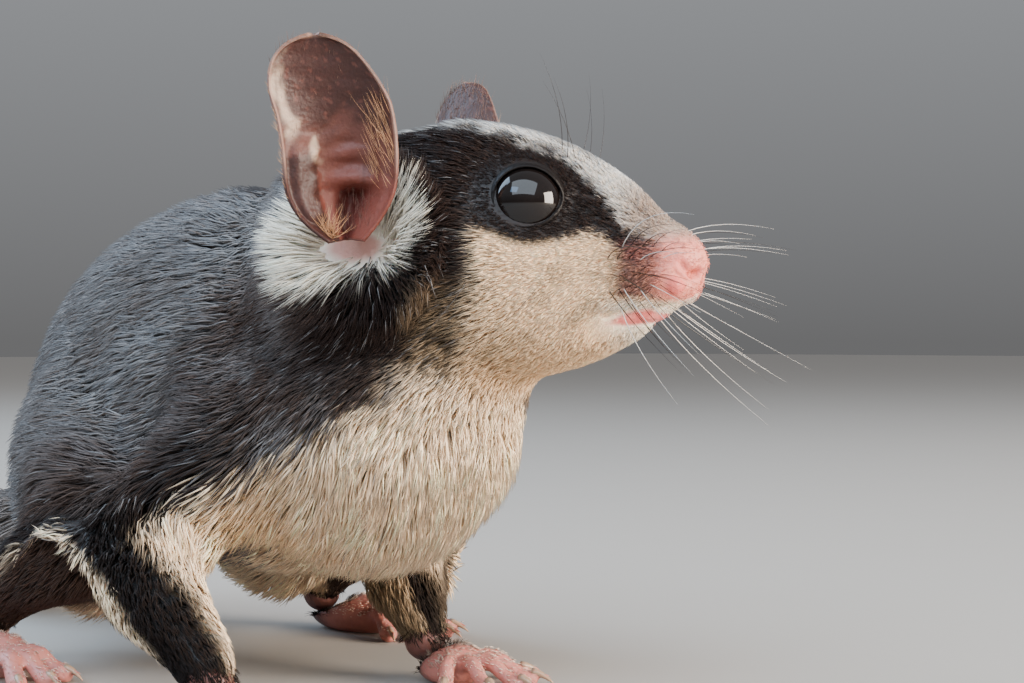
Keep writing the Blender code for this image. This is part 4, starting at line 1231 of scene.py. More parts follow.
def clumped(roots, tips, size, share, draw):
    """Tips that lean towards the middle of their clump, and each tuft's clump."""
    cells = np.floor((roots + draw.uniform(0, 9, 3)) / size[:, None]).astype(int)
    keys = (cells * CELL_KEYS).sum(axis=1)
    _, clump, count = np.unique(keys, return_inverse=True, return_counts=True)
    clump = clump.reshape(-1)
    middle = np.stack([np.bincount(clump, column) for column in tips.T], axis=1) / count[:, None]
    return tips + (middle[clump] - tips) * share[:, None], clump


def write_tufts(name, corners, uv, tint):
    """One mesh from the seven corners of each of many tufts."""
    count = len(corners)
    corners = np.maximum(corners.reshape(-1, 3), TUFT_FLOOR)
    mesh = bpy.data.meshes.new(name)
    mesh.vertices.add(count * TUFT_CORNERS)
    mesh.vertices.foreach_set("co", to_row(corners).ravel())
    faces = (TUFT_FACES[None] + TUFT_CORNERS * np.arange(count)[:, None, None]).reshape(-1, 3)
    mesh.loops.add(faces.size)
    mesh.loops.foreach_set("vertex_index", faces.ravel().astype(np.int32))
    mesh.polygons.add(len(faces))
    mesh.polygons.foreach_set("loop_start", np.arange(0, faces.size, 3, dtype=np.int32))
    mesh.polygons.foreach_set("use_smooth", np.ones(len(faces), bool))
    mesh.update(calc_edges=True)
    patch = (uv[:, None, :] + TUFT_PATCH[None]).reshape(-1, 2)
    keep_hairs(mesh, patch[faces.ravel()], tint.reshape(-1, 3), count)


print("a tuft has", len(TUFT_FACES), "triangles")

# %% [markdown]
# A tuft needs a root, and a shape. Roots are drawn at random, more of them where the fur is close.
# Each tuft then leans, bends and tapers by the measures of its place, with a little chance in all.

# %% Roots and shapes of tufts
TURN_CHANCE = 0.18
LENGTH_CHANCE, RISE_CHANCE, WIDTH_CHANCE = (0.75, 1.15), (0.72, 1.12), (0.8, 1.2)
ROOT_DEPTH = 0.15
ARCH, LEAST_REACH = 0.24, 0.4


def scatter(obj, density, draw):
    """Random roots on a mesh, by the number of tufts per square millimetre at each of its points."""
    mesh = obj.data
    mesh.calc_loop_triangles()
    corners = read_all(mesh.loop_triangles, "vertices", 3, int)
    loops = read_all(mesh.loop_triangles, "loops", 3, int)
    uv = read_all(mesh.uv_layers["OFBake"].data, "uv", 2)
    triangle = places(mesh)[corners]
    normal = np.cross(triangle[:, 1] - triangle[:, 0], triangle[:, 2] - triangle[:, 0])
    size = np.linalg.norm(normal, axis=1) / 2
    load = size * density[corners].mean(axis=1)
    count = int(load.sum())
    chosen = draw.choice(len(load), count, p=load / load.sum())
    a, b = np.sqrt(draw.uniform(size=count)), draw.uniform(size=count)
    share = np.stack([1 - a, a * (1 - b), a * b], axis=1)[:, :, None]
    picked = corners[chosen]

    def read(values):
        values = np.asarray(values, float).reshape(len(values), -1)
        return (values[picked] * share).sum(axis=1)

    return read, (uv[loops[chosen]] * share).sum(axis=1)


def grow(base, out, way, length, rise, width, clump_size, clump_share, draw):
    """The seven corners of each tuft, and its clump."""
    count = len(base)
    side = np.cross(out, way)
    way = unit(way + side * draw.normal(0, TURN_CHANCE, (count, 1)))
    side = unit(np.cross(out, way))
    length = length * draw.uniform(*LENGTH_CHANCE, count)
    rise = rise * draw.uniform(*RISE_CHANCE, count)
    reach = np.sqrt(np.maximum(length**2 - rise**2, (LEAST_REACH * length) ** 2))
    tips = base + way * reach[:, None] + out * rise[:, None]
    tips, clump = clumped(base, tips, clump_size, clump_share, draw)
    middle = base + (tips - base) * 0.5 + out * (rise * ARCH)[:, None]
    half = (width * draw.uniform(*WIDTH_CHANCE, count) / 2)[:, None]
    base = base - out * ROOT_DEPTH
    ridge = out * half * 0.9
    corners = [base - side * half, base + side * half, base + ridge,
               middle - side * half * 0.8, middle + side * half * 0.8, middle + ridge * 0.8, tips]
    return np.stack(corners, axis=1), clump


print("tufts turn aside by about", round(math.degrees(TURN_CHANCE)), "degrees")

# %% [markdown]
# How long, thick and close the fur is changes over the body: velvet on the face, plush on the crown
# and cheeks, long on the ruffs, chest and back, short again on the legs, bushy along the tail.

# %% The fur's measures over the skin
def fur_measures(points):
    """Length, rise, width, closeness, clump size and clumping at each place."""
    area = regions(points)
    head = even_side(to_head(points))
    x, _, z = points.T
    made = {"length": 6.0, "rise": 2.5, "width": 0.27, "density": 5.3, "clump": 1.5, "share": 0.3}
    made = {key: np.full(len(points), value) for key, value in made.items()}

    def set_on(where, **values):
        for key, value in values.items():
            made[key] = made[key] + where * (value - made[key])

    set_on(step(x, 0, 9), length=5.4, rise=2.2, width=0.21, density=8.4, clump=1.9)
    fluff = near_line(even_side(points), [(2, 15, 19), (-3, 17, 17)], 6, 3)
    set_on(fluff, length=7.5, rise=3.0)
    set_on(area["head"], length=2.8, rise=1.15, width=0.15, density=15, clump=1.0, share=0.25)
    set_on(area["face"], length=1.2, rise=0.5, width=0.11, density=23, clump=0.6, share=0.15)
    ruff = area["ruff"] * (1 - area["face"])
    set_on(ruff, length=5.4, rise=2.3, width=0.17, density=11, clump=1.1, share=0.35)
    for line in (EDGE_RIGHT, EDGE_LEFT):
        set_on(near_line(points, line, 6.0, 2.0), length=2.6, rise=0.5, width=0.24, density=5.5)
    low = fall(z, 6, 13)
    set_on(area["legs"], length=3.4, rise=1.2, width=0.24, density=7, clump=1.1, share=0.35)
    set_on(area["legs"] * low, length=1.9, rise=0.4, width=0.17, density=11)
    tail = area["tail"]
    rows = np.nonzero(tail > 0)[0]
    gaps = ((points[rows, None, :] - tail_rows[None, ::3, :3]) ** 2).sum(axis=2)
    radius = tail_rows[::3, 3][gaps.argmin(axis=1)]
    rise = np.zeros(len(points))
    rise[rows] = radius * 0.62 - 0.3
    made["rise"] = made["rise"] + tail * (rise - made["rise"])
    set_on(tail, length=13.0, width=0.34, density=5.6, clump=2.2, share=0.38)
    set_on(step(-x, 184, 203), length=4.5)
    gap = gap_to(head, EYE_CENTRE)
    set_on(fall(gap, 5.2, 6.6), length=0.75, rise=0.2, width=0.09, density=30)
    snout = step(head[:, 0], 27.5, 29.6) * area["head"]
    set_on(snout, length=0.5, rise=0.2, width=0.05, density=22)
    bare = fall(gap, 4.0, 4.15)
    lips = fall(line_gap(head, LOWER_LIP), 1.2, 2.4) * area["head"]
    set_on(lips, length=0.5, rise=0.25, width=0.07)
    for line, near, far in ((MOUTH, 0.3, 0.55), (NOSTRIL, 0.7, 1.1)):
        bare = np.maximum(bare, fall(line_gap(head, line), near, far) * area["head"])
    bare = np.maximum(bare, fall(gap_to(head, NOSE_LOBE), 0.9, 1.4))
    bare = np.maximum(bare, np.maximum(below_ear(head), lip_share(head)) * area["head"])
    made["density"] = made["density"] * (1 - bare)
    return made


def root_shade(tint, least, more):
    """The share of a colour that is left deep in the coat, as painted shade: the least for dark fur, more
    for pale.
    """
    return least + more * np.minimum(tint[:, :1] * 1.5, 1)


fur = fur_measures(skin_points)
skin_tint = markings(skin_points, skin_out)
# Painted shade: the skin under the coat is painted darker than the fur's markings.
paint(skin.data, skin_tint * root_shade(skin_tint, 0.72, 0.25))
print("fur from", fur["length"].min().round(2), "to", fur["length"].max().round(2), "mm long")

# %% [markdown]
# Now the coat is sown in one go. Chance and slow waves turn the tufts a little from the lie, so that
# the coat parts and gathers in locks.

# %% The coat, sown
draw = np.random.default_rng(12)
read, sown_uv = scatter(skin, fur["density"], draw)
base = read(skin_points)
out = unit(read(skin_out))
area = regions(base)
loose = (1 - 0.8 * area["head"]) * (1 - area["legs"])
way = read(skin_lie)
turned = 0.22 * loose * waves(base, 9, 41) + 0.12 * loose * waves(base, 4, 42)
way = laid_flat(way + np.cross(out, way) * turned[:, None], out)
sown = {key: read(values)[:, 0] for key, values in fur.items()}
corners, clump = grow(base, out, way, sown["length"], sown["rise"], sown["width"],
                      sown["clump"], sown["share"], draw)
print("tufts in all", len(base))

# %% [markdown]
# Each tuft takes the marking of a place about a third of the way along it, strayed a little, so that
# pale and dark hairs mix at an edge. Tufts and clumps differ a little in shade, a few are ticked with
# grey, and every tuft is darker at its root, where less light comes in.

# %% The coat, painted
ASTRAY, TUFT_CHANCE, CLUMP_CHANCE = 0.6, 0.13, 0.1
TICKED = 0.05
TIP_SHADE = 1.12
astray = draw.normal(0, ASTRAY, base.shape) * loose[:, None]
tint = markings(base + way * (sown["length"] * 0.35)[:, None] + astray, out)
calm = 1 - 0.45 * area["head"]
tuft_shade = 1 + draw.normal(0, TUFT_CHANCE, len(base)) * calm
clump_shade = 1 + (draw.normal(0, CLUMP_CHANCE, clump.max() + 1)[clump]) * calm
tint = tint * np.clip(tuft_shade * clump_shade, 0.6, 1.45)[:, None]
ticking = (draw.uniform(size=len(base)) < TICKED) * (1 - area["face"]) * (1 - area["legs"])
tint = blend(tint, BACK_GREY, ticking * 0.6)
tints = np.repeat(tint[:, None, :], TUFT_CORNERS, axis=1)
# Painted shade: the three root corners of every tuft are darker.
tints[:, :3] *= root_shade(tint, 0.62, 0.3)[:, None]
tints[:, -1] *= TIP_SHADE
print("ticked tufts", int((ticking > 0.5).sum()))

# %% [markdown]
# The coat is shared out to pieces with plain names, each light enough to handle. A region with too
# many tufts is cut up: the body from end to end, and head and face from side to side.

# %% The coat, in pieces
head_x = to_head(base)[:, 0]
group = np.full(len(base), "body_coat", dtype=object)
group[area["legs"] > 0.5] = "leg_coat"
group[area["tail"] > 0.5] = "tail_coat"
group[area["head"] > 0.5] = "head_coat"
group[(area["head"] > 0.5) & (head_x > 13)] = "face_coat"
for name in sorted(set(group)):
    rows = np.nonzero(group == name)[0]
    along = base[rows, 0] if name in ("body_coat", "tail_coat") else to_head(base[rows])[:, 1]
    rows = rows[np.argsort(along)]
    parts = math.ceil(len(rows) / TUFT_LIMIT)
    for i, chosen in enumerate(np.array_split(rows, parts)):
        chosen = np.sort(chosen)
        piece = f"{name}_{i + 1}" if parts > 1 else name
        write_tufts(piece, corners[chosen], sown_uv[chosen], tints[chosen])

# %% [markdown]
# Hands and feet wear only a thin down, brown at the wrist and sparse towards the bare pink fingers.

# %% Down on the hands and feet
DOWN_RISE, DOWN_WIDTH = 0.28, 0.1
for paw in paws:
    limb = paw.name.removesuffix("_skin")
    points = places(paw.data)
    out = unit(normals(paw.data))
    away = points - np.array(WRISTS[limb][0])
    reach = np.linalg.norm(away[:, :2], axis=1)
    paint(paw.data, blend(plain(PAW_PINK, len(points)), LEG_DARK, fall(reach, 1.5, 5.0) * 0.75))
    way = laid_flat(unit(away * (1, 1, 0) + (0.5, 0, 0)), out)
    top = step(out[:, 2], -0.1, 0.4)
    density = (16 - 10 * step(reach, 3, 7)) * top * (1 - 0.6 * step(reach, 8, 11))
    read, paw_uv = scatter(paw, density, draw)
    base, up, along = read(points), unit(read(out)), unit(read(way))
    down = read(reach)[:, 0]
    length = np.interp(down, (2, 6), (1.5, 0.8))
    count = np.ones(len(base))
    corners, _ = grow(base, up, along, length, DOWN_RISE * length, DOWN_WIDTH * count, 0.6 * count,
                      0.2 * count, draw)
    pale = step(down + waves(base, 2.0, 4), 2.5, 6.5)
    tint = blend(plain(DOWN_PALE, len(base)), LEG_DARK, 1 - pale)
    tint = tint * draw.normal(1, 0.1, (len(base), 1))
    write_tufts(limb + "_down", corners, paw_uv, np.repeat(tint[:, None, :], TUFT_CORNERS, axis=1))

# %% [markdown]
# ## Hairs that stand alone
# Whiskers, brow hairs and the fine hairs of the ear are single tapered strands. A strand follows a
# row of stations, is three-sided all along, and narrows to a fine end.

# %% Strands
STRAND_TURNS = [math.pi * (0.5 + share) for share in (0, 4 / 3, 2 / 3)]
STRAND_SIDES = [(0, 1), (1, 2), (2, 0)]
STRAND_TAPER = 0.93
STRAND_PATCH = (0.0008, 0.003)
WHISKER_STATIONS, EAR_HAIR_STATIONS = 10, 5


def write_strands(name, roots, ways, bends, lengths, radii, tint, uv, stations):
    """One mesh of curved, tapered strands."""
    count, size = len(roots), 3 * stations
    shares = np.linspace(0, 1, stations)
    path = roots[:, None] + lengths[:, None, None] * (
        ways[:, None] * shares[None, :, None] + bends[:, None] * (shares**2)[None, :, None])
    ahead = unit(np.gradient(path, axis=1))
    up = unit(np.cross(ways, bends) + (0.001, 0, 0.001))[:, None]
    side = unit(np.cross(up, ahead))
    reach = (radii[:, None] * (1 - STRAND_TAPER * shares**1.2)[None])[:, :, None]
    rings = [path + (side * math.cos(turn) + up * math.sin(turn)) * reach for turn in STRAND_TURNS]
    points = np.maximum(np.stack(rings, axis=2).reshape(-1, 3), FLOOR_GAP)
    pattern = np.array([(3 * k + a, 3 * k + b, 3 * k + 3 + b, 3 * k + 3 + a)
                        for k in range(stations - 1) for a, b in STRAND_SIDES])
    ends = np.array([(0, 2, 1), (size - 3, size - 2, size - 1)])
    first = size * np.arange(count)[:, None, None]
    quads, caps = (pattern[None] + first).reshape(-1, 4), (ends[None] + first).reshape(-1, 3)
    mesh = bpy.data.meshes.new(name)
    mesh.from_pydata(to_row(points).tolist(), [], quads.tolist() + caps.tolist())
    mesh.polygons.foreach_set("use_smooth", np.ones(len(mesh.polygons), bool))
    corners = np.concatenate([quads.ravel(), caps.ravel()])
    strand, station = corners // size, corners % size // 3
    across, along = corners % 3 - 1, station / stations - 0.5
    patch = np.stack([across * STRAND_PATCH[0], along * STRAND_PATCH[1]], axis=1)
    keep_hairs(mesh, uv[strand] + patch, np.repeat(tint, size, axis=0), count)


def on_skin(head_places):
    """The nearest points of the skin to places of the head's frame, with normals and map places."""
    rows = [skin_tree.find(place)[1] for place in from_head(head_places)]
    return skin_points[rows], skin_out[rows], skin_uv[rows]


skin_tree = search_tree(skin_points)
skin_uv = np.zeros((len(skin_points), 2))
skin_uv[read_all(skin.data.loops, "vertex_index", 1, int)] = read_all(
    skin.data.uv_layers["OFBake"].data, "uv", 2)
print("roots may stand at", len(skin_uv), "points")

# %% [markdown]
# Whiskers grow in five rows on each side of the snout, short in front and long behind, and a few stiff dark
# hairs stand over the eye and on the cheek. On the near side most whiskers are dark; on the far side most
# are painted pale, as painted light they catch from behind.

# %% Whiskers and brow hairs
BROW_ROOTS = ((20.2, 4.0, 6.6), (19.4, 3.4, 7.3), (21.0, 3.6, 6.0), (12.6, 9.8, -5.0), (18.8, 8.2, -6.4))
WHISKER_SPAN = (4.75, 4.9)
WHISKER_LENGTHS, WHISKER_RADII = (7, 13, 17), (0.045, 0.07)
BROW_LENGTH, BROW_RADIUS = 10, 0.045
# The far side's larger share of pale whiskers is painted light.
FAR_PALE_LIT, NEAR_PALE = 0.75, 0.25
roots, ways, bends, lengths, radii, shades = [], [], [], [], [], []
for mirror in SIDES.values():
    for x, z in whisker_roots():
        back = (WHISKER_FIRST[0] - x) / WHISKER_SPAN[0]
        low = (WHISKER_FIRST[1] - z) / WHISKER_SPAN[1]
        way = unit((0.75 - 0.4 * back, 0.6 * mirror, 0.8 - 1.5 * low))
        roots.append((x, 4.5 * mirror, z))
        ways.append(way + draw.normal(0, 0.09, 3))
        bends.append((0.3, 0.1 * mirror, -0.45 + 0.35 * low))
        length = np.interp(back, (0, 0.5, 1), WHISKER_LENGTHS) * draw.uniform(0.7, 1.1)
        lengths.append(length * (1 if mirror > 0 else 0.8))
        radii.append(np.interp(back, (0, 1), WHISKER_RADII))
        shades.append(draw.uniform() < (FAR_PALE_LIT if mirror > 0 else NEAR_PALE))
    for x, y, z in BROW_ROOTS:
        way = unit((0.3 * (z > 0) - 0.2, 0.35 * mirror, 0.9 if z > 0 else -0.5))
        roots.append((x, y * mirror, z))
        ways.append(way + draw.normal(0, 0.08, 3))
        bends.append((-0.25, 0.1 * mirror, 0.0))
        lengths.append(BROW_LENGTH * draw.uniform(0.8, 1.15))
        radii.append(BROW_RADIUS)
        shades.append(False)
base, out, base_uv = on_skin(roots)
way = np.array(ways) @ HEAD_AXES.T
way = unit(way + out * np.maximum(0.35 - (way * out).sum(axis=1, keepdims=True), 0))
tint = np.where(np.array(shades)[:, None], WHISKER_PALE, STRIPE_BROWN * 0.6)
write_strands("whiskers", base - out * 0.3, way, np.array(bends) @ HEAD_AXES.T, np.array(lengths),
              np.array(radii), tint, base_uv, WHISKER_STATIONS)

# %% [markdown]
# An ear is bare at a glance and downy from near: pale hairs along both its edges, a blond tuft beside
# the canal, and fine brown down inside and over the back of the leaf.

# %% Hairs of the ears
EAR_TUFT = {"rises": 0.5, "stands": 0.7, "chance": 0.4, "radius": 0.04}
EAR_FUZZ = {"rises": 0.8, "stands": 0.2, "chance": 0.16, "radius": 0.026}
EAR_HAIRS = (("front", 110, (0.6, 0.97), (4.5, 12.0), 3.0, -0.3, EAR_DOWN),
             ("rear", 120, (-1.0, -0.92), (2.0, 15.0), 0.9, -0.5, EAR_DOWN),
             ("tuft", 90, (-0.8, -0.35), (0.2, 1.4), 2.4, 0.1, EAR_DOWN),
             ("inside", 420, (-0.85, 0.8), (5.0, 18.6), 0.8, 0.0, EAR_BROWN_HAIR),
             ("back", 900, (-0.97, 0.97), (0.6, 19.0), 1.2, 0.0, EAR_BROWN_HAIR))
for side in SIDES:
    _, up, facing, forward = ear_axes[side]
    packs = []
    for kind, count, across, tall, length, lean, pale in EAR_HAIRS:
        s = draw.uniform(*across, count)
        height = draw.uniform(*tall, count)
        outward = facing * (-1 if kind == "back" else 1)
        habit = EAR_TUFT if kind == "tuft" else EAR_FUZZ
        way = up * habit["rises"] + forward * lean + outward * habit["stands"]
        way = way + draw.normal(0, habit["chance"], (count, 3))
        bend = (up * 0.2 - outward * 0.1) * np.ones((count, 1))
        size = length * draw.uniform(0.6, 1.2, count)
        tint = plain(pale, count) * draw.normal(1, 0.1, (count, 1))
        packs.append((ear_place(side, s, height) + outward * 0.1, way, bend, size,
                      np.full(count, habit["radius"]), tint,
                      np.stack([(s * 0.48 + 1) / 2, height / 20], axis=1)))
    placed, way, bend, size, thin, tint, hair_uv = (np.concatenate(column) for column in zip(*packs))
    write_strands(f"ear_{side}_hairs", from_head(placed), unit(way) @ HEAD_AXES.T, bend @ HEAD_AXES.T,
                  size, thin, tint, hair_uv, EAR_HAIR_STATIONS)

# %% [markdown]
# The ear's colours: dark brown towards the tip, pinkish low in the hollow, reddish brown in the canal with
# painted shade in its pit, and paler where light comes through the thin skin near the rear edge.

# %% Colours of the ears
EAR_SPOTS = (((-4.3, 14.6), (0.75, 2.6)), ((-3.9, 11.4), (0.55, 1.6)), ((-2.0, 8.9), (0.35, 1.0)))
for side, ear in ears.items():
    s, height, _ = read_all(ear.data.attributes["leaf"].data, "vector", 3).T
    place = np.stack([s * 5, height, np.zeros_like(s)], axis=1)
    rough = waves(place, 4.0, 8) * 0.5 + waves(place, 1.6, 9) * 0.35
    lobe = fall(s, -0.46, -0.4) * fall(height + rough, 8.5, 10)
    layers = [(EAR_DARK, step(height + rough * 2, 9.5, 13) * 0.85),
              (EAR_PINK, fall(height + rough, 3.5, 8) * 0.8),
              (EAR_PINK, bump(s, 0.15, 0.35) * bump(height, 7.5, 2.0) * 0.5),
              (EAR_DARK * 0.85, lobe * 0.9)]
    ragged = place[:, :2] + 0.55 * np.stack([rough, waves(place, 2.1, 17)], axis=1)
    for (x, z), (wide, tall) in EAR_SPOTS:
        gap = np.hypot((ragged[:, 0] - x) / wide, (ragged[:, 1] - z) / tall)
        layers.append((EAR_PALE, fall(gap, 0.35, 1.6) * 0.9))
    specks = step(waves(place, 0.9, 31), 0.75, 1.1) * step(height, 9, 12)
    veins = bump(np.abs(waves(place * (1, 0.4, 1), 3.4, 21)), 0, 0.07) * step(height, 3, 6)
    rim = np.maximum(step(np.abs(s), 0.965, 0.99), step(height, 19.35, 19.65))
    hind = step(-(normals(ear.data) @ (HEAD_AXES @ ear_axes[side][2])), -0.1, 0.3)
    layers += [(EAR_MID * 1.3, specks * 0.5),
               # The canal's reddish brown skin, darkened as painted shade in its pit.
               (EAR_CANAL, np.minimum(canal_share(s, height) * 1.5, 1)),
               (EAR_DARK, veins * 0.35),
               (EAR_RIM, rim * 0.7 * step(height, 5, 9)),
               (EAR_MID, hind * 0.7)]
    paint(ear.data, layered(plain(EAR_MID, len(s)), layers))
for lid in lids.values():
    paint(lid.data, plain(STRIPE_BROWN * 0.2, len(lid.data.vertices)))
print("ears and lids are painted")

# %% [markdown]
# ## Finishes
# Two small groups do the work that several finishes share: one breaks a painted colour up with fine
# mottling, and one gives skin its grain as a height for a bump.

# %% Shared groups
def group_with(name, inputs, output, kind):
    """An empty node group with some inputs and one output."""
    group = bpy.data.node_groups.new(name, "ShaderNodeTree")
    for label, value in inputs.items():
        socket_type = "NodeSocketFloat" if isinstance(value, float) else "NodeSocketColor"
        socket = group.interface.new_socket(label, in_out="INPUT", socket_type=socket_type)
        socket.default_value = value
    group.interface.new_socket(output, in_out="OUTPUT", socket_type=kind)
    return group, group.nodes.new("NodeGroupInput"), group.nodes.new("NodeGroupOutput")


def add_node(tree, kind, **values):
    """A node with some of its settings and inputs set."""
    node = tree.nodes.new(kind)
    for key, value in values.items():
        if key in node.bl_rna.properties:
            setattr(node, key, value)
        else:
            node.inputs[key.replace("_", " ")].default_value = value
    return node


def wire(source, output, target, entry):
    source.id_data.links.new(source.outputs[output], target.inputs[entry])


mottle_group, inner, outer = group_with(
    "mottled colour", {"Color": (0.5, 0.5, 0.5, 1), "Size": 1500.0, "Amount": 0.2},
    "Color", "NodeSocketColor")
place = add_node(mottle_group, "ShaderNodeTexCoord")
noise = add_node(mottle_group, "ShaderNodeTexNoise", Detail=3.0, Roughness=0.6)
centred = add_node(mottle_group, "ShaderNodeMath", operation="SUBTRACT")
centred.inputs[1].default_value = 0.5
scaled = add_node(mottle_group, "ShaderNodeMath", operation="MULTIPLY_ADD")
scaled.inputs[2].default_value = 1.0
mixed = add_node(mottle_group, "ShaderNodeVectorMath", operation="SCALE")
wire(place, "Object", noise, "Vector")
wire(inner, "Size", noise, "Scale")
wire(noise, "Fac", centred, 0)
wire(centred, 0, scaled, 0)
wire(inner, "Amount", scaled, 1)
wire(inner, "Color", mixed, 0)
wire(scaled, 0, mixed, "Scale")
wire(mixed, 0, outer, "Color")

grain_group, inner, outer = group_with(
    "skin grain", {"Size": 2500.0, "Creases": 0.5}, "Height", "NodeSocketFloat")
place = add_node(grain_group, "ShaderNodeTexCoord")
cells = add_node(grain_group, "ShaderNodeTexVoronoi", feature="SMOOTH_F1")
noise = add_node(grain_group, "ShaderNodeTexNoise", Detail=4.0)
blended = add_node(grain_group, "ShaderNodeMix")
for node in (cells, noise):
    wire(place, "Object", node, "Vector")
    wire(inner, "Size", node, "Scale")
wire(inner, "Creases", blended, "Factor")
wire(noise, "Fac", blended, 2)
wire(cells, "Distance", blended, 3)
wire(blended, 0, outer, "Height")
print("two shared groups")

# %% [markdown]
# Fur scatters light and has almost no gloss. Skin is a little moist, and light comes through it. The
# eye is a black ball under a clear wet coat, and the claws are dull horn. One function makes them
# all, since they differ only in their numbers.

# %% A maker of finishes
GRAIN_DEPTH = 0.0002


def finish(name, amount, size, grain=0.0, grain_size=2500.0, creases=0.5, painted=None, **sockets):
    """A material that reads the painted colours, or one colour, and mottles it."""
    made = bpy.data.materials.new(name)
    made.use_nodes = True
    tree = made.node_tree
    shader = tree.nodes["Principled BSDF"]
    for key, value in sockets.items():
        shader.inputs[key.replace("_", " ")].default_value = value
    mottled = add_node(tree, "ShaderNodeGroup", node_tree=mottle_group, Size=size, Amount=amount)
    if painted is None:
        reader = add_node(tree, "ShaderNodeAttribute", attribute_name="tint")
        wire(reader, "Color", mottled, "Color")
    else:
        mottled.inputs["Color"].default_value = (*painted, 1)
    wire(mottled, "Color", shader, "Base Color")
    if grain:
        rough = add_node(tree, "ShaderNodeGroup", node_tree=grain_group, Size=grain_size, Creases=creases)
        pressed = add_node(tree, "ShaderNodeBump", Strength=grain, Distance=GRAIN_DEPTH)
        wire(rough, "Height", pressed, "Height")
        wire(pressed, "Normal", shader, "Normal")
    return made


print("the grain is", GRAIN_DEPTH / MM, "mm deep")

# %% [markdown]
# Each finish then says how glossy, moist and grainy its surface is, and each piece gets one.

# %% The finishes, on their pieces
EYE_BLACK = (0.006, 0.004, 0.0035)
HORN = tuple(colour(158, 128, 104))
coat_finish = finish("soft fur", 0.25, 900.0, Roughness=0.8, Specular_IOR_Level=0.1, Sheen_Weight=0.03)
whisker_finish = finish("stiff hair", 0.1, 900.0, Roughness=0.35)
skin_finish = finish("skin under the coat", 0.25, 1200.0, grain=0.5, grain_size=3200.0,
                     Roughness=0.5, Specular_IOR_Level=0.3, Subsurface_Weight=0.12, Subsurface_Scale=0.0006)
paw_finish = finish("bare pink skin", 0.35, 900.0, grain=0.7, grain_size=2200.0,
                    Roughness=0.5, Subsurface_Weight=0.15, Subsurface_Scale=0.0008)
ear_finish = finish("thin ear skin", 0.35, 1100.0, grain=0.6, grain_size=2600.0, creases=0.35,
                    Roughness=0.52, Specular_IOR_Level=0.35, Subsurface_Weight=0.1, Subsurface_Scale=0.0006)
lid_finish = finish("dark wet lid", 0.2, 1500.0, grain=0.5, grain_size=3000.0, Roughness=0.5,
                    Specular_IOR_Level=0.16)
eye_finish = finish("black eye", 0.6, 300.0, painted=EYE_BLACK, Roughness=0.08,
                    Specular_IOR_Level=0.1, Coat_Weight=0.6, Coat_Roughness=0.015)
claw_finish = finish("horn", 0.5, 1400.0, grain=0.3, grain_size=2600.0, painted=HORN,
                     Roughness=0.35, Subsurface_Weight=0.2, Subsurface_Scale=0.0005)


def dress(finish_made, *objects):
    for obj in objects:
        obj.data.materials.clear()
        obj.data.materials.append(finish_made)


dress(coat_finish, *[obj for obj in coats if "whisker" not in obj.name])
dress(whisker_finish, *[obj for obj in coats if "whisker" in obj.name])
dress(skin_finish, skin)
dress(paw_finish, *paws)
dress(ear_finish, *ears.values())
dress(lid_finish, *lids.values())
dress(eye_finish, *eyes.values())
dress(claw_finish, claws)
print(len(bpy.data.materials), "materials")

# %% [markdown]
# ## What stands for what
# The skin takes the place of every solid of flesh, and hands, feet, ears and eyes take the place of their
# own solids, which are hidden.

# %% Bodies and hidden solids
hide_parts(*[node for node in FLESH if not node.startswith("eye")], "tail")
for paw in paws:
    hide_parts(paw.name[:-5])
for side in SIDES:
    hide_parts("eye_" + side)
    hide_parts("ear_" + side)
for obj in coats:
    name = obj.name
for obj in (skin, claws, *paws, *eyes.values(), *lids.values(), *ears.values(), *coats):
    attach(obj, "root")
print("every piece rides on the one body")

# %% [markdown]
# ## Floor and light
# The floor is plain and a warm grey, and reaches far past the animal on every side. It only carries
# the shadow, and isn't a part of the model.

# %% Floor
FLOOR_SIZE = 8
floor = add_shape(bpy.ops.mesh.primitive_plane_add, "floor", size=FLOOR_SIZE)
floor_finish = finish("pale floor", 0.03, 40.0, painted=tuple(colour(170, 163, 155)), Roughness=0.8)
dress(floor_finish, floor)
floor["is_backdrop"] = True
print("a floor", FLOOR_SIZE, "metres wide")

# %% [markdown]
# The photograph looks lit by a soft window in front of the animal and above it, with warm light from
# the side it faces and cool light from behind its back. A small blue lamp gives the eye a cold spark.
# The walls of the room are only a background that gets lighter upwards, so no wall is in the way.

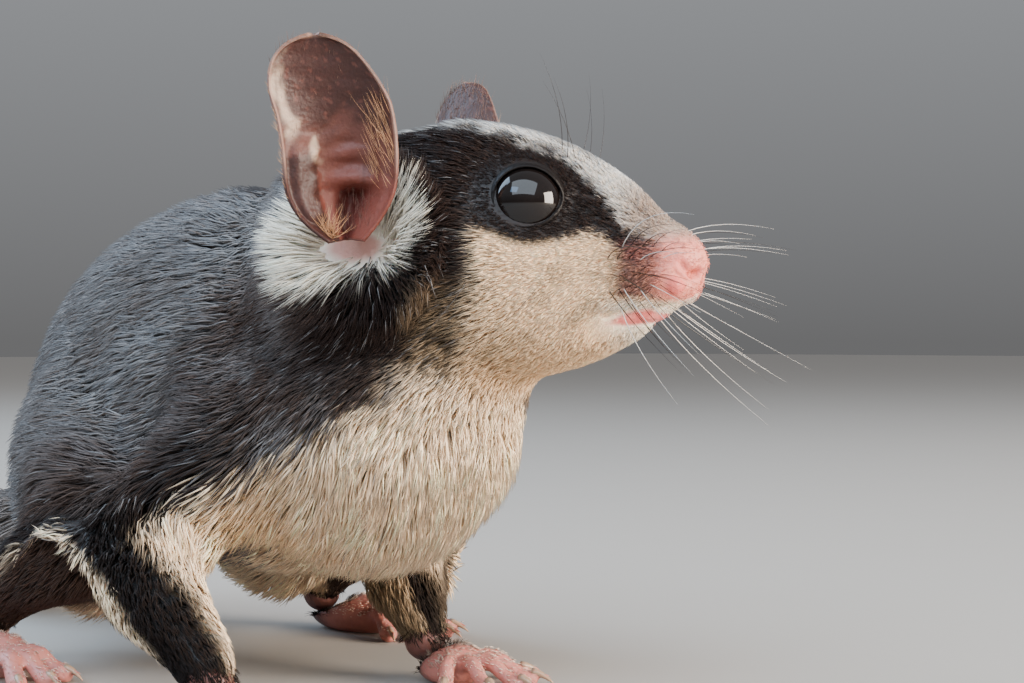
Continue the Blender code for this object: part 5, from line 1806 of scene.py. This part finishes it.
# %% Lights
WALL_LOW = (0.15, 0.15, 0.152)
WALL_HIGH = (0.46, 0.48, 0.51)
WALL_RISE = 0.4
HEAD_PLACE = Vector(to_row(from_head((14, 0, -2))))
CAMERA_RIGHT = Vector((0.643, 0.766, 0))
CAMERA_BACK = Vector((0.766, -0.643, 0))


def soft_light(name, right, back, high, width, height, power, tint):
    """A rectangular light aimed at the head, placed from it along the camera's own axes, in metres."""
    data = bpy.data.lights.new(name, "AREA")
    data.shape = "RECTANGLE"
    data.size, data.size_y = width, height
    data.energy = power
    data.color = tint
    lamp = bpy.data.objects.new(name, data)
    bpy.context.scene.collection.objects.link(lamp)
    lamp.location = HEAD_PLACE + CAMERA_RIGHT * right + CAMERA_BACK * back + Vector((0, 0, high))
    lamp.rotation_euler = (HEAD_PLACE - lamp.location).to_track_quat("-Z", "Y").to_euler()


soft_light("window", -0.12, 0.5, 0.5, 0.95, 0.6, 10, (0.76, 0.88, 1.0))
soft_light("warm side", 0.8, 0.3, 0.12, 0.5, 0.5, 31, (1.0, 0.89, 0.77))
soft_light("cool side", -0.7, -0.25, 0.5, 0.6, 0.6, 10, (0.55, 0.75, 1.0))
soft_light("sky", -0.45, 0.45, 0.42, 0.28, 0.2, 1.3, (0.35, 0.62, 1.0))
room = bpy.data.worlds.new("room")
bpy.context.scene.world = room
room.use_nodes = True
sky = room.node_tree
heading = add_node(sky, "ShaderNodeTexCoord")
split = add_node(sky, "ShaderNodeSeparateXYZ")
height = add_node(sky, "ShaderNodeMapRange", From_Max=WALL_RISE)
walls = add_node(sky, "ShaderNodeMix", data_type="RGBA")
walls.inputs["A"].default_value = (*WALL_LOW, 1)
walls.inputs["B"].default_value = (*WALL_HIGH, 1)
wire(heading, "Generated", split, "Vector")
wire(split, "Z", height, "Value")
wire(height, "Result", walls, "Factor")
wire(walls, "Result", sky.nodes["Background"], "Color")
sky.nodes["Background"].inputs["Strength"].default_value = 1.0
print("four lamps and a room")

# %% [markdown]
# The fur may stand a little past the solids, and no more. The box of the dressed animal is set beside
# the box of its solids, to see by how much, and the scene is closed.

# %% Sizes and the end
dressed_box = [list(corner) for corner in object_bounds()]
for side, ends in zip("low high".split(), zip(solids_box, dressed_box)):
    print(side, [[round(v / MM, 1) for v in end] for end in ends])
